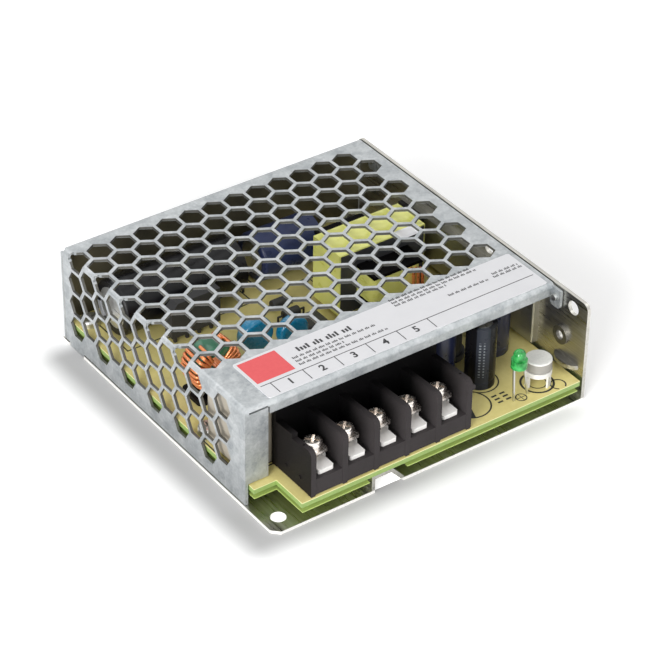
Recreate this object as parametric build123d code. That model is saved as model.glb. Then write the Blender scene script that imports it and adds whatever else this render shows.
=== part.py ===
from build123d import *
import math
import os

# Mesh case switching power supply, in millimetres.
# Origin at the bottom centre of the case, +X to the right along the terminal side,
# +Y from the terminal side to the rear, +Z up.

# Case
CASE_WIDTH = 97.0
CASE_DEPTH = 99.0
CASE_HEIGHT = 30.0
TRAY_SHEET = 1.0
COVER_SHEET = 0.8
TRAY_BEND = 0.4
COVER_BEND = 0.5
WALL_CORNER = 2.0
TRAY_CORNER = 2.0
MOUNT_HOLE = 4.0
FLOOR_HOLE_FROM_LEFT = 4.5
FLOOR_HOLE_FROM_FRONT = 5.0
WALL_HOLE_FROM_FRONT = 5.5
WALL_HOLE_DROP = 3.6
VENT_HOLE = 3.4
VENT_HOLE_FROM_FRONT = 40.1
VENT_HOLE_DROP = 4.3
BRIDGE_FROM_LEFT = 30.1
BRIDGE_WIDTH = 8.8
BRIDGE_SLOPE = 3.4
BRIDGE_DEPTH = 6.0
HOOK_REACH = 2.5
HOOK_LENGTH = 9.4
HOOK_FROM_FRONT = 6.7
HOOK_GAP = 1.9
HOOK_THICK = 1.2

# Clinch nuts
NUT_DIAMETER = 5.4
NUT_STANDS_OUT = 0.9
WALL_NUT_FROM_FRONT = 9.05
WALL_NUT_HEIGHT = 16.3
FLOOR_NUT_DIAMETER = 5.6
FLOOR_NUT_HEIGHT = 1.7
REAR_NUT_FROM_LEFT = 22.0
REAR_NUT_FROM_REAR = 24.0
FRONT_NUT_FROM_RIGHT = 24.0
FRONT_NUT_FROM_FRONT = 24.0

# Cover
COVER_DROP = 0.2
COVER_SIDE_GAP = 0.3
COVER_WALL_GAP = 0.25
COVER_REAR_GAP = 0.5
COVER_FRONT_SETBACK = 13.0
COVER_FOOT_GAP = 0.15
LIP_HEIGHT = 3.4
CORNER_FLANGE_WIDTH = 6.8
CORNER_FLANGE_RISE = 6.4
FOLD_RELIEF = 0.5
EAR_WIDTH = 4.0
EAR_DROP = 6.0
EAR_FRONT_REACH = 3.4
EAR_HOLE = 2.0
EAR_HOLE_DROP = 2.9
REAR_EAR_FROM_REAR = 8.0
COUNTERSINK = 0.7
NOTCH_LENGTH = 7.5
NOTCH_FROM_REAR = 3.0
NOTCH_DEPTH = 1.4
TAB_CLEARANCE = 0.3

# Hexagon mesh
HEX_FLATS = 6.2
HEX_PITCH = 7.1
HEX_ROW_PITCH = 6.23
HEX_FROM_REAR = 7.1
HEX_FROM_FOLD = 7.73
HEX_EDGE_MARGIN = 2.6
HEX_FOOT_MARGIN = 2.3
HEX_LABEL_MARGIN = 1.0
FOLD_TAKE = 1.35

# Cover label
LABEL_SHEET = 0.15
LABEL_LEFT = 7.9
LABEL_RIGHT = 1.4
LABEL_FRONT = 1.2
LABEL_WIDTH = 16.2
LABEL_ROUND = 0.6

# Circuit board, film and spacers
BOARD_SHEET = 1.6
BOARD_LEFT_GAP = 1.5
BOARD_WALL_GAP = 0.8
BOARD_REAR_GAP = 1.5
BOARD_NOTCH_X = 6.6
BOARD_NOTCH_Y = 11.0
BOARD_LIFT = 4.4
FILM_SHEET = 0.3
FILM_LIFT = 2.6
FILM_GAP = 0.4
SPACER_SHOULDER = 6.0
SPACER_NECK = 4.2
SPACER_FROM_EDGE = 3.6
SPACER_FROM_REAR = 6.0
SPACER_FROM_WALL = 6.7
LEFT_SPACER_FROM_FRONT = 36.5
RIGHT_SPACER_FROM_FRONT = 33.8
RIGHT_SPACER_FROM_WALL = 11.0
FIT_GAP = 0.15
M3_CLEARANCE = 3.2
M3_THREAD = 2.6
M3_HEAD = 5.6
M3_HEAD_HEIGHT = 2.0

# Terminal block
POLES = 5
POLE_PITCH = 9.5
BARRIER_THICK = 1.6
BLOCK_LEFT = 10.85
BLOCK_DEPTH = 16.5
BLOCK_FOOT = 0.4
SHELF_RISE = 5.0
BARRIER_FRONT_RISE = 15.0
BARRIER_REAR_RISE = 13.9
BARRIER_FRONT_ROUND = 1.6
BARRIER_PROUD = 0.1
BLOCK_FRONT_INSET = 0.35
LEFT_WALL_STEP = 1.3
LEFT_WALL_STEP_DEPTH = 8.0
REAR_WALL = 1.4
REAR_WALL_RISE = 18.5
BLOCK_FOOT_LENGTH = 1.6
BLOCK_FOOT_INSET = 0.2
KEY_PROUD = 0.9
KEY_LENGTH = 2.6
KEY_RISE = 11.8
PIP_RADIUS = 0.5
PIP_PROUD = 0.3
PIP_RISE = 3.2
PIPS_FROM_FRONT = (4.6, 10.4)
MOULD_MARK_RADIUS = 0.4
MOULD_MARK_DEPTH = 3.0
MOULD_MARK_FROM_FRONT = 4.2
CONTACT_WIDTH = 4.6
CONTACT_THICK = 1.2
CONTACT_SETBACK = 1.3
CONTACT_LENGTH = 12.2
PIN_WIDTH = 1.6
PIN_THICK = 1.0

# Terminal screws
SCREW_FROM_FRONT = 7.7
SCREW_HEAD = 5.2
SCREW_HEAD_HEIGHT = 2.0
SCREW_SHANK = 3.0
SCREW_LENGTH = 5.4
SCREW_LIFT = 2.0
SCREW_SLOT = 0.7
SCREW_SLOT_DEPTH = 1.1
WASHER_SIDE = 5.8
WASHER_THICK = 0.8
THREAD_GAP = 0.08
WELL_RADIUS = 2.0
WELL_FLOOR = 1.0

# Indicator and adjuster
LED_LENS = 3.3
LED_FLANGE = 4.3
LED_FLANGE_HEIGHT = 2.4
LED_HEIGHT = 5.3
LED_RISE = 10.6
LED_FROM_WALL = 19.3
LED_FROM_FRONT = 2.8
LED_LEG_SPACING = 2.54
LED_LEG_ANGLE = -32.0
LED_LEG = 0.5
LED_FEET = ((-0.9, 0.2), (3.8, 0.5))
TRIMMER_FROM_WALL = 10.3
TRIMMER_FROM_FRONT = 5.7
TRIMMER_KNOB = 7.1
TRIMMER_KNOB_HEIGHT = 2.9
TRIMMER_RING = 7.3
TRIMMER_RING_HEIGHT = 1.4
TRIMMER_RISE = 3.6
TRIMMER_GAP = 0.2
TRIMMER_PIVOT = 2.4
TRIMMER_MARK = 0.5
TRIMMER_MARK_DEPTH = 0.35

# Parts on the board
HEADROOM = 1.6
STAND_OFF = 0.3
LEAD = 0.7
BOX_CAP_WIDTH = 17.0
BOX_CAP_THICK = 16.0
BOX_CAP_LEFT = 2.4
BOX_CAP_GAP = 0.6
CHOKE_CORE_OUTER = 12.6
CHOKE_CORE_INNER = 6.8
CHOKE_CORE_WIDTH = 6.4
CHOKE_WIRE = 1.2
CHOKE_ARC = 134.0
CHOKE_STAND = 1.2
CHOKE_LEFT = 7.6
CHOKE_FROM_FRONT = 50.3
DISC_DIAMETER = 10.0
DISC_THICK = 4.0
DISC_RISE = 3.0
BULK_DIAMETER = 16.0
BULK_LENGTH = 37.5
BULK_LEFT = 7.5
BULK_FROM_REAR = 13.5
SLEEVE = 0.25
BUNG = 1.6
SECOND_DIAMETER = 14.0
SECOND_LENGTH = 19.0
SECOND_GAP = 6.5
CORE_WIDTH = 27.0
CORE_THICK = 12.4
CORE_LEG = 5.0
CORE_YOKE = 4.0
CORE_MIDDLE_LEG = 9.0
CORE_LIFT = 1.6
CORE_FROM_WALL = 9.0
CORE_FROM_REAR = 42.5
TAPE = 0.35
BOBBIN_REACH = 7.4
BOBBIN_FLANGE = 0.9
BOBBIN_CLEARANCE = 0.3
BOBBIN_WALL = 0.8
BOBBIN_PINS = 5
BOBBIN_PIN_PITCH = 3.2
BOBBIN_PIN = 0.8
LEAD_WIRE = 0.9
LEAD_PITCH = 1.5
LEAD_DROP = 3.4
SPREADER_THICK = 2.0
SPREADER_FROM_FRONT = 18.5
SPREADER_LENGTH = 60.0
SPREADER_HEIGHT = 14.0
SPREADER_LIFT = 1.5
PACKAGE_WIDTH = 10.0
PACKAGE_THICK = 4.4
PACKAGE_BODY = 8.1
PACKAGE_TAB = 6.0
PACKAGE_TAB_THICK = 1.3
PACKAGE_HOLE_DROP = 3.0
RECTIFIER_FROM_END = 17.0
TRANSISTOR_FROM_END = 8.0
LEG_PITCH = 2.54
SMALL_CAP_DIAMETER = 8.0
SMALL_CAP_FROM_WALL = 22.2
SMALL_CAP_FROM_FRONT = 14.7
SMALL_CAP_LIP_GAP = 0.7
LARGE_CAP_DIAMETER = 10.0
LARGE_CAP_HEADROOM = 2.5
DRUM_DIAMETER = 9.2
DRUM_CORE = 7.6
DRUM_FLANGE = 1.6
DRUM_HEIGHT = 11.6
RECTIFIER_LENGTH = 15.0
RECTIFIER_THICK = 3.4
RECTIFIER_BODY = 10.5
RECTIFIER_RISE = 2.5
FUSE_DIAMETER = 8.4
FUSE_HEIGHT = 8.0
FINE_WIRE = 0.6
CHIP_LENGTH = 9.6
CHIP_DEPTH = 6.4
CHIP_RISE = 3.2
OPTOCOUPLER_LENGTH = 4.6
RESISTOR_DIAMETER = 2.6
RESISTOR_LENGTH = 6.4
DIODE_DIAMETER = 2.8
DIODE_LENGTH = 5.0

# Places of parts on the board, from the case's left and front
FUSE_AT = (31.5, 23.35)
VARISTOR_AT = (31.9, 55.2)
SAFETY_CAPACITOR_AT = (41.1, 51.7)
THERMISTOR_AT = (34.0, 33.0)
RECTIFIER_FROM_LEFT = 17.0
RECTIFIER_BEFORE_CAN = 6.0
OPTOCOUPLER_AT = (50.5, 36.5)
CHIP_AT = (50.0, 57.5)
RESISTORS_AT = ((51.0, 25.5), (51.0, 30.0), (38.5, 40.0))
DIODES_AT = ((50.0, 65.0), (50.0, 70.5))
REAR_JUMPER_AT = (26.0, 63.5)
JUMPERS_AT = ((52.0, 44.0), (57.0, 42.5))

# Case size that the middle parts' places were measured in; they spread out with the case
LAYOUT_WIDTH = 97.0
LAYOUT_DEPTH = 99.0

# Places of the output parts, from the tray's wall and the case's front
LARGE_CAPS_FROM_WALL = ((30.0, 23.0), (10.7, 25.0))
DRUM_FROM_WALL = (22.0, 28.5)

# Planes and faces worked out from the driving sizes
left = -CASE_WIDTH / 2
right = CASE_WIDTH / 2
front = -CASE_DEPTH / 2
rear = CASE_DEPTH / 2
wall_face = right - TRAY_SHEET
film_bottom = TRAY_SHEET + FILM_LIFT
board_bottom = TRAY_SHEET + BOARD_LIFT
board_top = board_bottom + BOARD_SHEET
board_left = left + BOARD_LEFT_GAP
board_right = wall_face - BOARD_WALL_GAP
cover_left = left + COVER_SIDE_GAP
cover_right = wall_face - COVER_WALL_GAP
cover_front = front + COVER_FRONT_SETBACK
cover_rear = rear - COVER_REAR_GAP
cover_top = CASE_HEIGHT - COVER_DROP
cover_bottom = TRAY_SHEET + COVER_FOOT_GAP
ceiling = cover_top - COVER_SHEET
tall_top = ceiling - HEADROOM
lip_bottom = cover_top - LIP_HEIGHT
block_bottom = board_top + BLOCK_FOOT
shelf = board_top + SHELF_RISE
block_front = front + BLOCK_FRONT_INSET
block_rear = block_front + BLOCK_DEPTH
block_left = left + BLOCK_LEFT
block_right = block_left + POLES * POLE_PITCH + BARRIER_THICK
contact_top = shelf + CONTACT_THICK
screw_y = front + SCREW_FROM_FRONT
washer_bottom = contact_top + SCREW_LIFT
head_bottom = washer_bottom + WASHER_THICK
thread_bore = SCREW_SHANK / 2 + THREAD_GAP
outer_bend = COVER_BEND + COVER_SHEET
label_y = cover_front + LABEL_FRONT
hex_tip = HEX_FLATS / math.sqrt(3)
first_hex_y = cover_rear - HEX_FROM_REAR
wall_nut_y = front + WALL_NUT_FROM_FRONT
ear_hole_z = cover_top - EAR_HOLE_DROP
bridge_x = (left + BRIDGE_FROM_LEFT, left + BRIDGE_FROM_LEFT + BRIDGE_WIDTH)


def block(x0, x1, y0, y1, z0, z1):
    """Straight block between two corners."""
    middle = Pos((x0 + x1) / 2, (y0 + y1) / 2, (z0 + z1) / 2)
    return middle * Box(x1 - x0, y1 - y0, z1 - z0)


def post(x, y, z0, z1, radius):
    """Upright round post."""
    return Pos(x, y, (z0 + z1) / 2) * Cylinder(radius, z1 - z0)


def bar_x(x0, x1, y, z, radius):
    """Round bar along X."""
    return Pos((x0 + x1) / 2, y, z) * Rot(0, 90, 0) * Cylinder(radius, x1 - x0)


def bar_y(x, y0, y1, z, radius):
    """Round bar along Y."""
    return Pos(x, (y0 + y1) / 2, z) * Rot(90, 0, 0) * Cylinder(radius, y1 - y0)


def plate_xz(points, y0, y1):
    """Plate with an outline in X and Z, between two Y planes."""
    outline = make_face(Polyline(*points, close=True))
    return Pos(0, y1, 0) * extrude(Plane.XZ * outline, y1 - y0)


def edges_at(part, axis, **limits):
    """Straight edges along an axis whose centres lie at the given coordinates."""
    chosen = part.edges().filter_by(axis)
    for name, value in limits.items():
        chosen = [e for e in chosen if abs(getattr(e.center(), name.upper()) - value) < 0.01]
    return chosen


def spacer_places():
    """Board fixing points: the two rear corners, and one halfway along each side."""
    return [
        (board_left + SPACER_FROM_EDGE, rear - SPACER_FROM_REAR),
        (wall_face - SPACER_FROM_WALL, rear - SPACER_FROM_REAR),
        (board_left + SPACER_FROM_EDGE, front + LEFT_SPACER_FROM_FRONT),
        (wall_face - RIGHT_SPACER_FROM_WALL, front + RIGHT_SPACER_FROM_FRONT),
    ]


def on_board(place):
    """Row coordinates of a place given from the case's left and front."""
    return left + place[0], front + place[1]


def near_wall(place):
    """Row coordinates of a place given from the tray's wall and the case's front."""
    return wall_face - place[0], front + place[1]


def spread_across(place):
    """Row coordinates of a place that keeps its share of the case's width."""
    return left + place[0] * CASE_WIDTH / LAYOUT_WIDTH, front + place[1]


def spread_back(place):
    """Row coordinates of a place that keeps its share of the case's depth."""
    return left + place[0], front + place[1] * CASE_DEPTH / LAYOUT_DEPTH


def spread_out(place):
    """Row coordinates of a place that keeps its share of the case's width and depth."""
    return spread_across(place)[0], spread_back(place)[1]


def nut_places():
    """Clinch nuts in the tray floor, clear of the spacers."""
    return [(left + REAR_NUT_FROM_LEFT, rear - REAR_NUT_FROM_REAR),
            (right - FRONT_NUT_FROM_RIGHT, front + FRONT_NUT_FROM_FRONT)]


def chassis_tray():
    """Aluminium tray: floor and one side wall folded from one sheet."""
    floor = block(left, right, front, rear, 0, TRAY_SHEET)
    wall = block(wall_face, right, front, rear, 0, CASE_HEIGHT)
    tray = floor + wall
    tray = fillet(edges_at(tray, Axis.Y, x=right, z=0), TRAY_BEND + TRAY_SHEET)
    tray = fillet(edges_at(tray, Axis.Y, x=wall_face, z=TRAY_SHEET), TRAY_BEND)
    tray = fillet(edges_at(tray, Axis.X, z=CASE_HEIGHT), WALL_CORNER)
    tray = chamfer(edges_at(tray, Axis.Z, x=left, y=front), TRAY_CORNER)
    inside = wall_face - 1
    outside = right + 1
    cuts = [
        post(left + FLOOR_HOLE_FROM_LEFT, front + FLOOR_HOLE_FROM_FRONT, -1, TRAY_SHEET + 1, MOUNT_HOLE / 2),
        bar_x(inside, outside, front + WALL_HOLE_FROM_FRONT, CASE_HEIGHT - WALL_HOLE_DROP, MOUNT_HOLE / 2),
        bar_x(inside, outside, front + VENT_HOLE_FROM_FRONT, CASE_HEIGHT - VENT_HOLE_DROP, VENT_HOLE / 2),
        bar_x(inside, outside, wall_nut_y, WALL_NUT_HEIGHT, M3_THREAD / 2),
    ]
    for x, y in nut_places():
        cuts.append(post(x, y, -1, TRAY_SHEET + 1, M3_THREAD / 2))
    for y in ear_places():
        cuts.append(bar_x(inside, outside, y, ear_hole_z, EAR_HOLE / 2 + FIT_GAP))
        cuts.append(countersink(y))
    notch_rear = rear - NOTCH_FROM_REAR
    cuts.append(block(left - 1, left + NOTCH_DEPTH, notch_rear - NOTCH_LENGTH, notch_rear, -1, TRAY_SHEET + 1))
    return tray - cuts - bridge_window() + bridge_strap() + board_hook()


def ear_places():
    """Y of the two cover screws through the wall."""
    return [cover_front - EAR_FRONT_REACH + EAR_WIDTH / 2, cover_rear - REAR_EAR_FROM_REAR]


def countersink(y):
    """Cone in the outer face of the wall for a flat screw head."""
    cone = Cone(EAR_HOLE / 2 + FIT_GAP, EAR_HOLE / 2 + FIT_GAP + COUNTERSINK, COUNTERSINK)
    return Pos(right - COUNTERSINK / 2, y, ear_hole_z) * Rot(0, 90, 0) * cone


def bridge_window():
    """Opening that the raised front strap was pressed from."""
    x0, x1 = bridge_x
    return block(x0, x1, front - 1, front + BRIDGE_DEPTH, -1, TRAY_SHEET + 1)


def bridge_strap():
    """Raised strap at the front edge that carries the board."""
    x0, x1 = bridge_x
    sheet = TRAY_SHEET
    outline = [
        (x0 - sheet, 0),
        (x0, 0),
        (x0, board_bottom - sheet),
        (x1 - BRIDGE_SLOPE - sheet / 2, board_bottom - sheet),
        (x1, 0),
        (x1 + sheet, 0),
        (x1 + sheet, sheet),
        (x1 + sheet / 2, sheet),
        (x1 - BRIDGE_SLOPE, board_bottom),
        (x0 - sheet, board_bottom),
    ]
    return plate_xz(outline, front, front + BRIDGE_DEPTH)


def board_hook():
    """Half moon pressed inwards from the wall, over the board's edge."""
    half_chord = HOOK_LENGTH / 2
    middle_y = front + HOOK_FROM_FRONT
    bottom = board_top + HOOK_GAP
    top = bottom + HOOK_THICK
    radius = (half_chord ** 2 + HOOK_REACH ** 2) / (2 * HOOK_REACH)
    disc = post(wall_face - HOOK_REACH + radius, middle_y, bottom, top, radius)
    return disc & block(wall_face - HOOK_REACH - 1, wall_face + TRAY_SHEET / 4, middle_y - half_chord,
                        middle_y + half_chord, bottom, top)


def clinch_nuts():
    """Threaded round nuts pressed into the wall and the floor."""
    inner_end = wall_face - NUT_STANDS_OUT
    wall_nut = bar_x(inner_end, wall_face, wall_nut_y, WALL_NUT_HEIGHT, NUT_DIAMETER / 2)
    nuts = [wall_nut - bar_x(inner_end - 1, wall_face + 1, wall_nut_y, WALL_NUT_HEIGHT, M3_THREAD / 2)]
    for x, y in nut_places():
        nut = post(x, y, TRAY_SHEET, TRAY_SHEET + FLOOR_NUT_HEIGHT, FLOOR_NUT_DIAMETER / 2)
        nuts.append(nut - post(x, y, 0, board_bottom, M3_THREAD / 2))
    return nuts


def cover_screws():
    """Flat-headed screws that hold the cover's ears to the wall."""
    screws = []
    for y in ear_places():
        radius = EAR_HOLE / 2 - FIT_GAP / 2
        shank = bar_x(cover_right - 2 * COVER_SHEET, right - COUNTERSINK, y, ear_hole_z, radius)
        cone = Cone(radius, radius + COUNTERSINK, COUNTERSINK)
        head = Pos(right - COUNTERSINK / 2, y, ear_hole_z) * Rot(0, 90, 0) * cone
        for angle in (0, 90):
            head -= Pos(right, y, ear_hole_z) * Rot(angle, 0, 0) * Box(COUNTERSINK * 0.8, EAR_HOLE * 1.2, 0.5)
        screws.append(shank + head)
    return screws


def hexagon(depth):
    """Hexagonal punch with two flats across X, centred on its own origin."""
    outline = RegularPolygon(radius=HEX_FLATS / 2, side_count=6, major_radius=False, rotation=30)
    return Pos(0, 0, -depth / 2) * extrude(outline, depth)


def hex_rows():
    """Y, first X and a mark for the top's rows, for every row of the flat pattern from the rear."""
    top_limit = label_y + LABEL_WIDTH + HEX_LABEL_MARGIN + hex_tip
    side_limit = cover_front + outer_bend + HEX_EDGE_MARGIN + hex_tip
    y = first_hex_y
    row = 0
    while y >= side_limit:
        shift = HEX_PITCH / 2 if row % 2 else 0
        yield y, cover_left + HEX_FROM_FOLD - shift, y >= top_limit
        y -= HEX_ROW_PITCH
        row += 1


def mesh_punches():
    """All hexagonal punches for the top, the fold and the left side."""
    tool = hexagon(4 * COVER_SHEET)
    fold_tool = hexagon(COVER_SHEET + 2 * outer_bend)
    side_tool = Rot(0, 90, 0) * tool
    fold_side_tool = Rot(0, 90, 0) * fold_tool
    punches = []
    last_x = cover_right - HEX_FLATS / 2 - HEX_EDGE_MARGIN
    for y, first_x, on_top in hex_rows():
        if on_top:
            x = first_x
            while x <= last_x:
                punches.append(Pos(x, y, cover_top - COVER_SHEET / 2) * tool)
                x += HEX_PITCH
        column_x = first_x - HEX_PITCH
        while True:
            z = cover_top - (cover_left - column_x) - FOLD_TAKE
            if z < cover_bottom + HEX_FLATS / 2 + HEX_FOOT_MARGIN:
                break
            crosses_fold = z + HEX_FLATS / 2 > cover_top - outer_bend / 2
            if crosses_fold and on_top:
                punches.append(Pos(column_x, y, cover_top) * fold_tool)
                punches.append(Pos(cover_left, y, z) * fold_side_tool)
            elif not crosses_fold:
                punches.append(Pos(cover_left + COVER_SHEET / 2, y, z) * side_tool)
            column_x -= HEX_PITCH
    return punches


def mesh_cover():
    """Galvanised cover folded from one punched sheet."""
    outer = block(cover_left, cover_right, cover_front, cover_rear, cover_bottom, cover_top)
    top_edges = [e for e in outer.edges().group_by(Axis.Z)[-1] if e.center().X < cover_right - 0.1]
    outer = fillet(top_edges, outer_bend)
    inner = block(cover_left + COVER_SHEET, cover_right + 5, cover_front + COVER_SHEET,
                  cover_rear - COVER_SHEET, cover_bottom - 5, ceiling)
    top_edges = [e for e in inner.edges().group_by(Axis.Z)[-1] if e.center().X < cover_right]
    inner = fillet(top_edges, COVER_BEND)
    shell = outer - inner
    flange_edge = cover_left + CORNER_FLANGE_WIDTH
    flange_bottom = TRAY_SHEET + CORNER_FLANGE_RISE
    trims = [
        block(flange_edge, cover_right + 1, cover_front - 1, cover_front + 2, cover_bottom - 1, lip_bottom),
        block(cover_left + COVER_SHEET, flange_edge + 0.1, cover_front - 1, cover_front + outer_bend,
              cover_bottom - 1, flange_bottom),
        block(cover_left + outer_bend, flange_edge, cover_front - 1, cover_front + outer_bend,
              lip_bottom + 2.0, lip_bottom + 2.0 + FOLD_RELIEF),
        block(flange_edge, flange_edge + FOLD_RELIEF, cover_front - 1, cover_front + outer_bend,
              lip_bottom - 1, cover_top - outer_bend),
        block(cover_left - 1, cover_left + outer_bend, cover_rear - outer_bend, cover_rear + 1,
              cover_top - outer_bend, cover_top + 1),
        block(cover_left + outer_bend - FOLD_RELIEF, cover_left + outer_bend, cover_rear - outer_bend,
              cover_rear + 1, cover_bottom - 1, cover_top),
    ]
    shell = shell - trims - mesh_punches()
    shell = shell + cover_ears() + locating_tab()
    return shell


def cover_ears():
    """Two ears turned down beside the wall, with holes for the cover screws."""
    ears = []
    inner_x = cover_right - COVER_SHEET
    for y in ear_places():
        half = EAR_WIDTH / 2
        bottom = cover_top - EAR_DROP
        ear = block(inner_x, cover_right, y - half, y + half, bottom, cover_top - COVER_SHEET / 2)
        ear = fillet(edges_at(ear, Axis.X, z=bottom), EAR_WIDTH * 0.3)
        ears.append(ear - bar_x(inner_x - 1, cover_right + 1, y, ear_hole_z, EAR_HOLE / 2))
    return ears


def locating_tab():
    """Tab at the foot of the left side that drops into the tray's notch."""
    middle = rear - NOTCH_FROM_REAR - NOTCH_LENGTH / 2
    half = NOTCH_LENGTH / 2 - TAB_CLEARANCE
    return block(cover_left, cover_left + COVER_SHEET, middle - half, middle + half, 0.1, cover_bottom + 0.1)


def front_label():
    """Printed plastic film stuck on the cover along the terminal side."""
    label = block(cover_left + LABEL_LEFT, cover_right - LABEL_RIGHT, label_y, label_y + LABEL_WIDTH,
                  cover_top, cover_top + LABEL_SHEET)
    return fillet(label.edges().filter_by(Axis.Z), LABEL_ROUND)


def board_outline(z0, z1, inset):
    """Outline of the board, with the front left corner cut away for the tray's hole."""
    x0 = board_left + inset
    x1 = board_right - inset
    y0 = front + inset
    y1 = rear - BOARD_REAR_GAP - inset
    sheet = block(x0, x1, y0, y1, z0, z1)
    return sheet - block(x0 - 1, board_left + BOARD_NOTCH_X + inset, y0 - 1, front + BOARD_NOTCH_Y + inset,
                         z0 - 1, z1 + 1)


def circuit_board():
    """Single-sided board."""
    board = board_outline(board_bottom, board_top, 0)
    holes = [post(x, y, board_bottom - 1, board_top + 1, M3_CLEARANCE / 2) for x, y in spacer_places()]
    return board - holes


def insulation_film():
    """Insulating film under the board, resting on the spacers' shoulders."""
    film = board_outline(film_bottom, film_bottom + FILM_SHEET, 2 * FIT_GAP)
    holes = [post(x, y, film_bottom - 1, board_bottom, SPACER_NECK / 2 + FIT_GAP) for x, y in spacer_places()]
    x0, x1 = bridge_x
    gap = TRAY_SHEET + FILM_GAP
    return film - holes - block(x0 - gap, x1 + gap, front - 1, front + BRIDGE_DEPTH + FILM_GAP,
                                film_bottom - 1, board_bottom)


def board_spacers():
    """Turned spacers: the film rests on the shoulder and the board on the neck."""
    spacers = []
    for x, y in spacer_places():
        spacer = post(x, y, TRAY_SHEET, film_bottom, SPACER_SHOULDER / 2)
        spacer += post(x, y, film_bottom, board_bottom, SPACER_NECK / 2)
        spacers.append(spacer - post(x, y, TRAY_SHEET - 1, board_bottom + 1, M3_THREAD / 2))
    return spacers


def board_screws():
    """Pan-headed screws through the board into the spacers."""
    screws = []
    for x, y in spacer_places():
        head = post(x, y, board_top, board_top + M3_HEAD_HEIGHT, M3_HEAD / 2)
        head = fillet(head.edges().group_by(Axis.Z)[-1], M3_HEAD_HEIGHT * 0.4)
        for angle in (0, 90):
            slot = Pos(x, y, board_top + M3_HEAD_HEIGHT) * Rot(0, 0, angle) * Box(3.0, 0.6, 1.8)
            head -= slot
        shank = post(x, y, TRAY_SHEET + 0.6, board_top, M3_THREAD / 2 - FIT_GAP / 2)
        screws.append(head + shank)
    return screws


def barrier_outline(step):
    """Side outline of a barrier, with its sloping top and rounded front corner."""
    round_off = BARRIER_FRONT_ROUND
    top_rear = board_top + BARRIER_REAR_RISE
    slope = (BARRIER_FRONT_RISE - BARRIER_REAR_RISE) / BLOCK_DEPTH
    corner_y = block_front + round_off
    corner_z = board_top + BARRIER_FRONT_RISE - step
    points = [(block_front, corner_z - round_off), (block_front, block_bottom), (block_rear, block_bottom),
              (block_rear, top_rear)]
    if step:
        step_y = block_front + LEFT_WALL_STEP_DEPTH
        high = board_top + BARRIER_FRONT_RISE - slope * LEFT_WALL_STEP_DEPTH
        points += [(step_y, high), (step_y, high - step)]
    points.append((corner_y, corner_z))
    middle = (block_front + 0.3 * round_off, corner_z - 0.3 * round_off)
    corner = ThreePointArc(points[-1], middle, points[0])
    return make_face(Curve() + [Polyline(*points), corner])


def pole_x(pole):
    """X of a pole's screw axis."""
    return block_left + BARRIER_THICK / 2 + (pole + 0.5) * POLE_PITCH


def barrier(wall):
    """One barrier, with a small foot under each end that stands on the board."""
    x0 = block_left + wall * POLE_PITCH
    outline = barrier_outline(LEFT_WALL_STEP if wall == 0 else 0)
    body = Pos(x0, 0, 0) * extrude(Plane.YZ * outline, BARRIER_THICK)
    foot_x0 = x0 + BLOCK_FOOT_INSET
    foot_x1 = x0 + BARRIER_THICK - BLOCK_FOOT_INSET
    for foot_y in (block_front, block_rear - BLOCK_FOOT_LENGTH):
        body += block(foot_x0, foot_x1, foot_y, foot_y + BLOCK_FOOT_LENGTH, board_top, block_bottom)
    return body


def terminal_block():
    """Moulded barrier block: one shelf with a cell for each pole, and a tall rear wall."""
    body = block(block_left, block_right, block_front + BARRIER_PROUD, block_rear, block_bottom, shelf)
    body += block(block_left, block_right, block_rear - REAR_WALL, block_rear, shelf, board_top + REAR_WALL_RISE)
    for wall in range(POLES + 1):
        body += barrier(wall)
    front_rise = board_top + BARRIER_FRONT_RISE
    key = block(block_right - KEY_PROUD, block_right + KEY_PROUD, block_front, block_front + KEY_LENGTH,
                board_top + KEY_RISE, front_rise - BARRIER_FRONT_ROUND)
    body += chamfer(edges_at(key, Axis.Y, x=block_right + KEY_PROUD), KEY_PROUD / 2)
    for pip_y in PIPS_FROM_FRONT:
        body += bar_x(block_left - PIP_PROUD, block_left + PIP_PROUD, block_front + pip_y, block_bottom + PIP_RISE,
                      PIP_RADIUS)
    cuts = []
    for x in (block_left + BARRIER_THICK / 2, block_right - BARRIER_THICK / 2):
        cuts.append(post(x, block_front + MOULD_MARK_FROM_FRONT, front_rise - MOULD_MARK_DEPTH, front_rise + 1,
                         MOULD_MARK_RADIUS))
    pin_y = pin_front()
    for pole in range(POLES):
        x = pole_x(pole)
        cuts.append(post(x, screw_y, block_bottom + WELL_FLOOR, shelf + 1, WELL_RADIUS))
        cuts.append(block(x - PIN_WIDTH / 2 - FIT_GAP, x + PIN_WIDTH / 2 + FIT_GAP, pin_y - FIT_GAP,
                          pin_y + PIN_THICK + FIT_GAP, block_bottom - 1, shelf + 1))
    return body - cuts


def pin_front():
    """Front face of the contacts' pins."""
    return block_front + CONTACT_SETBACK + CONTACT_LENGTH - PIN_THICK


def terminal_contacts():
    """Tinned contact plates, each bent down into a pin that meets the board."""
    contacts = []
    for pole in range(POLES):
        x = pole_x(pole)
        y0 = block_front + CONTACT_SETBACK
        plate = block(x - CONTACT_WIDTH / 2, x + CONTACT_WIDTH / 2, y0, y0 + CONTACT_LENGTH, shelf,
                      contact_top)
        plate = chamfer(edges_at(plate, Axis.Z, y=y0), 0.4)
        for side in (-1, 1):
            wing_x = x + side * (CONTACT_WIDTH / 2 + 0.4)
            plate += block(wing_x - 0.45, wing_x + 0.45, screw_y - 1.2, screw_y + 1.2, shelf, contact_top)
        pin_y = pin_front()
        pin = block(x - PIN_WIDTH / 2, x + PIN_WIDTH / 2, pin_y, pin_y + PIN_THICK, board_top, shelf + 0.1)
        collar = post(x, screw_y, shelf - 1.4, shelf + 0.1, WELL_RADIUS - FIT_GAP)
        contact = plate + pin + collar - post(x, screw_y, board_top, contact_top + 1, thread_bore)
        contacts.append(contact)
    return contacts


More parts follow.
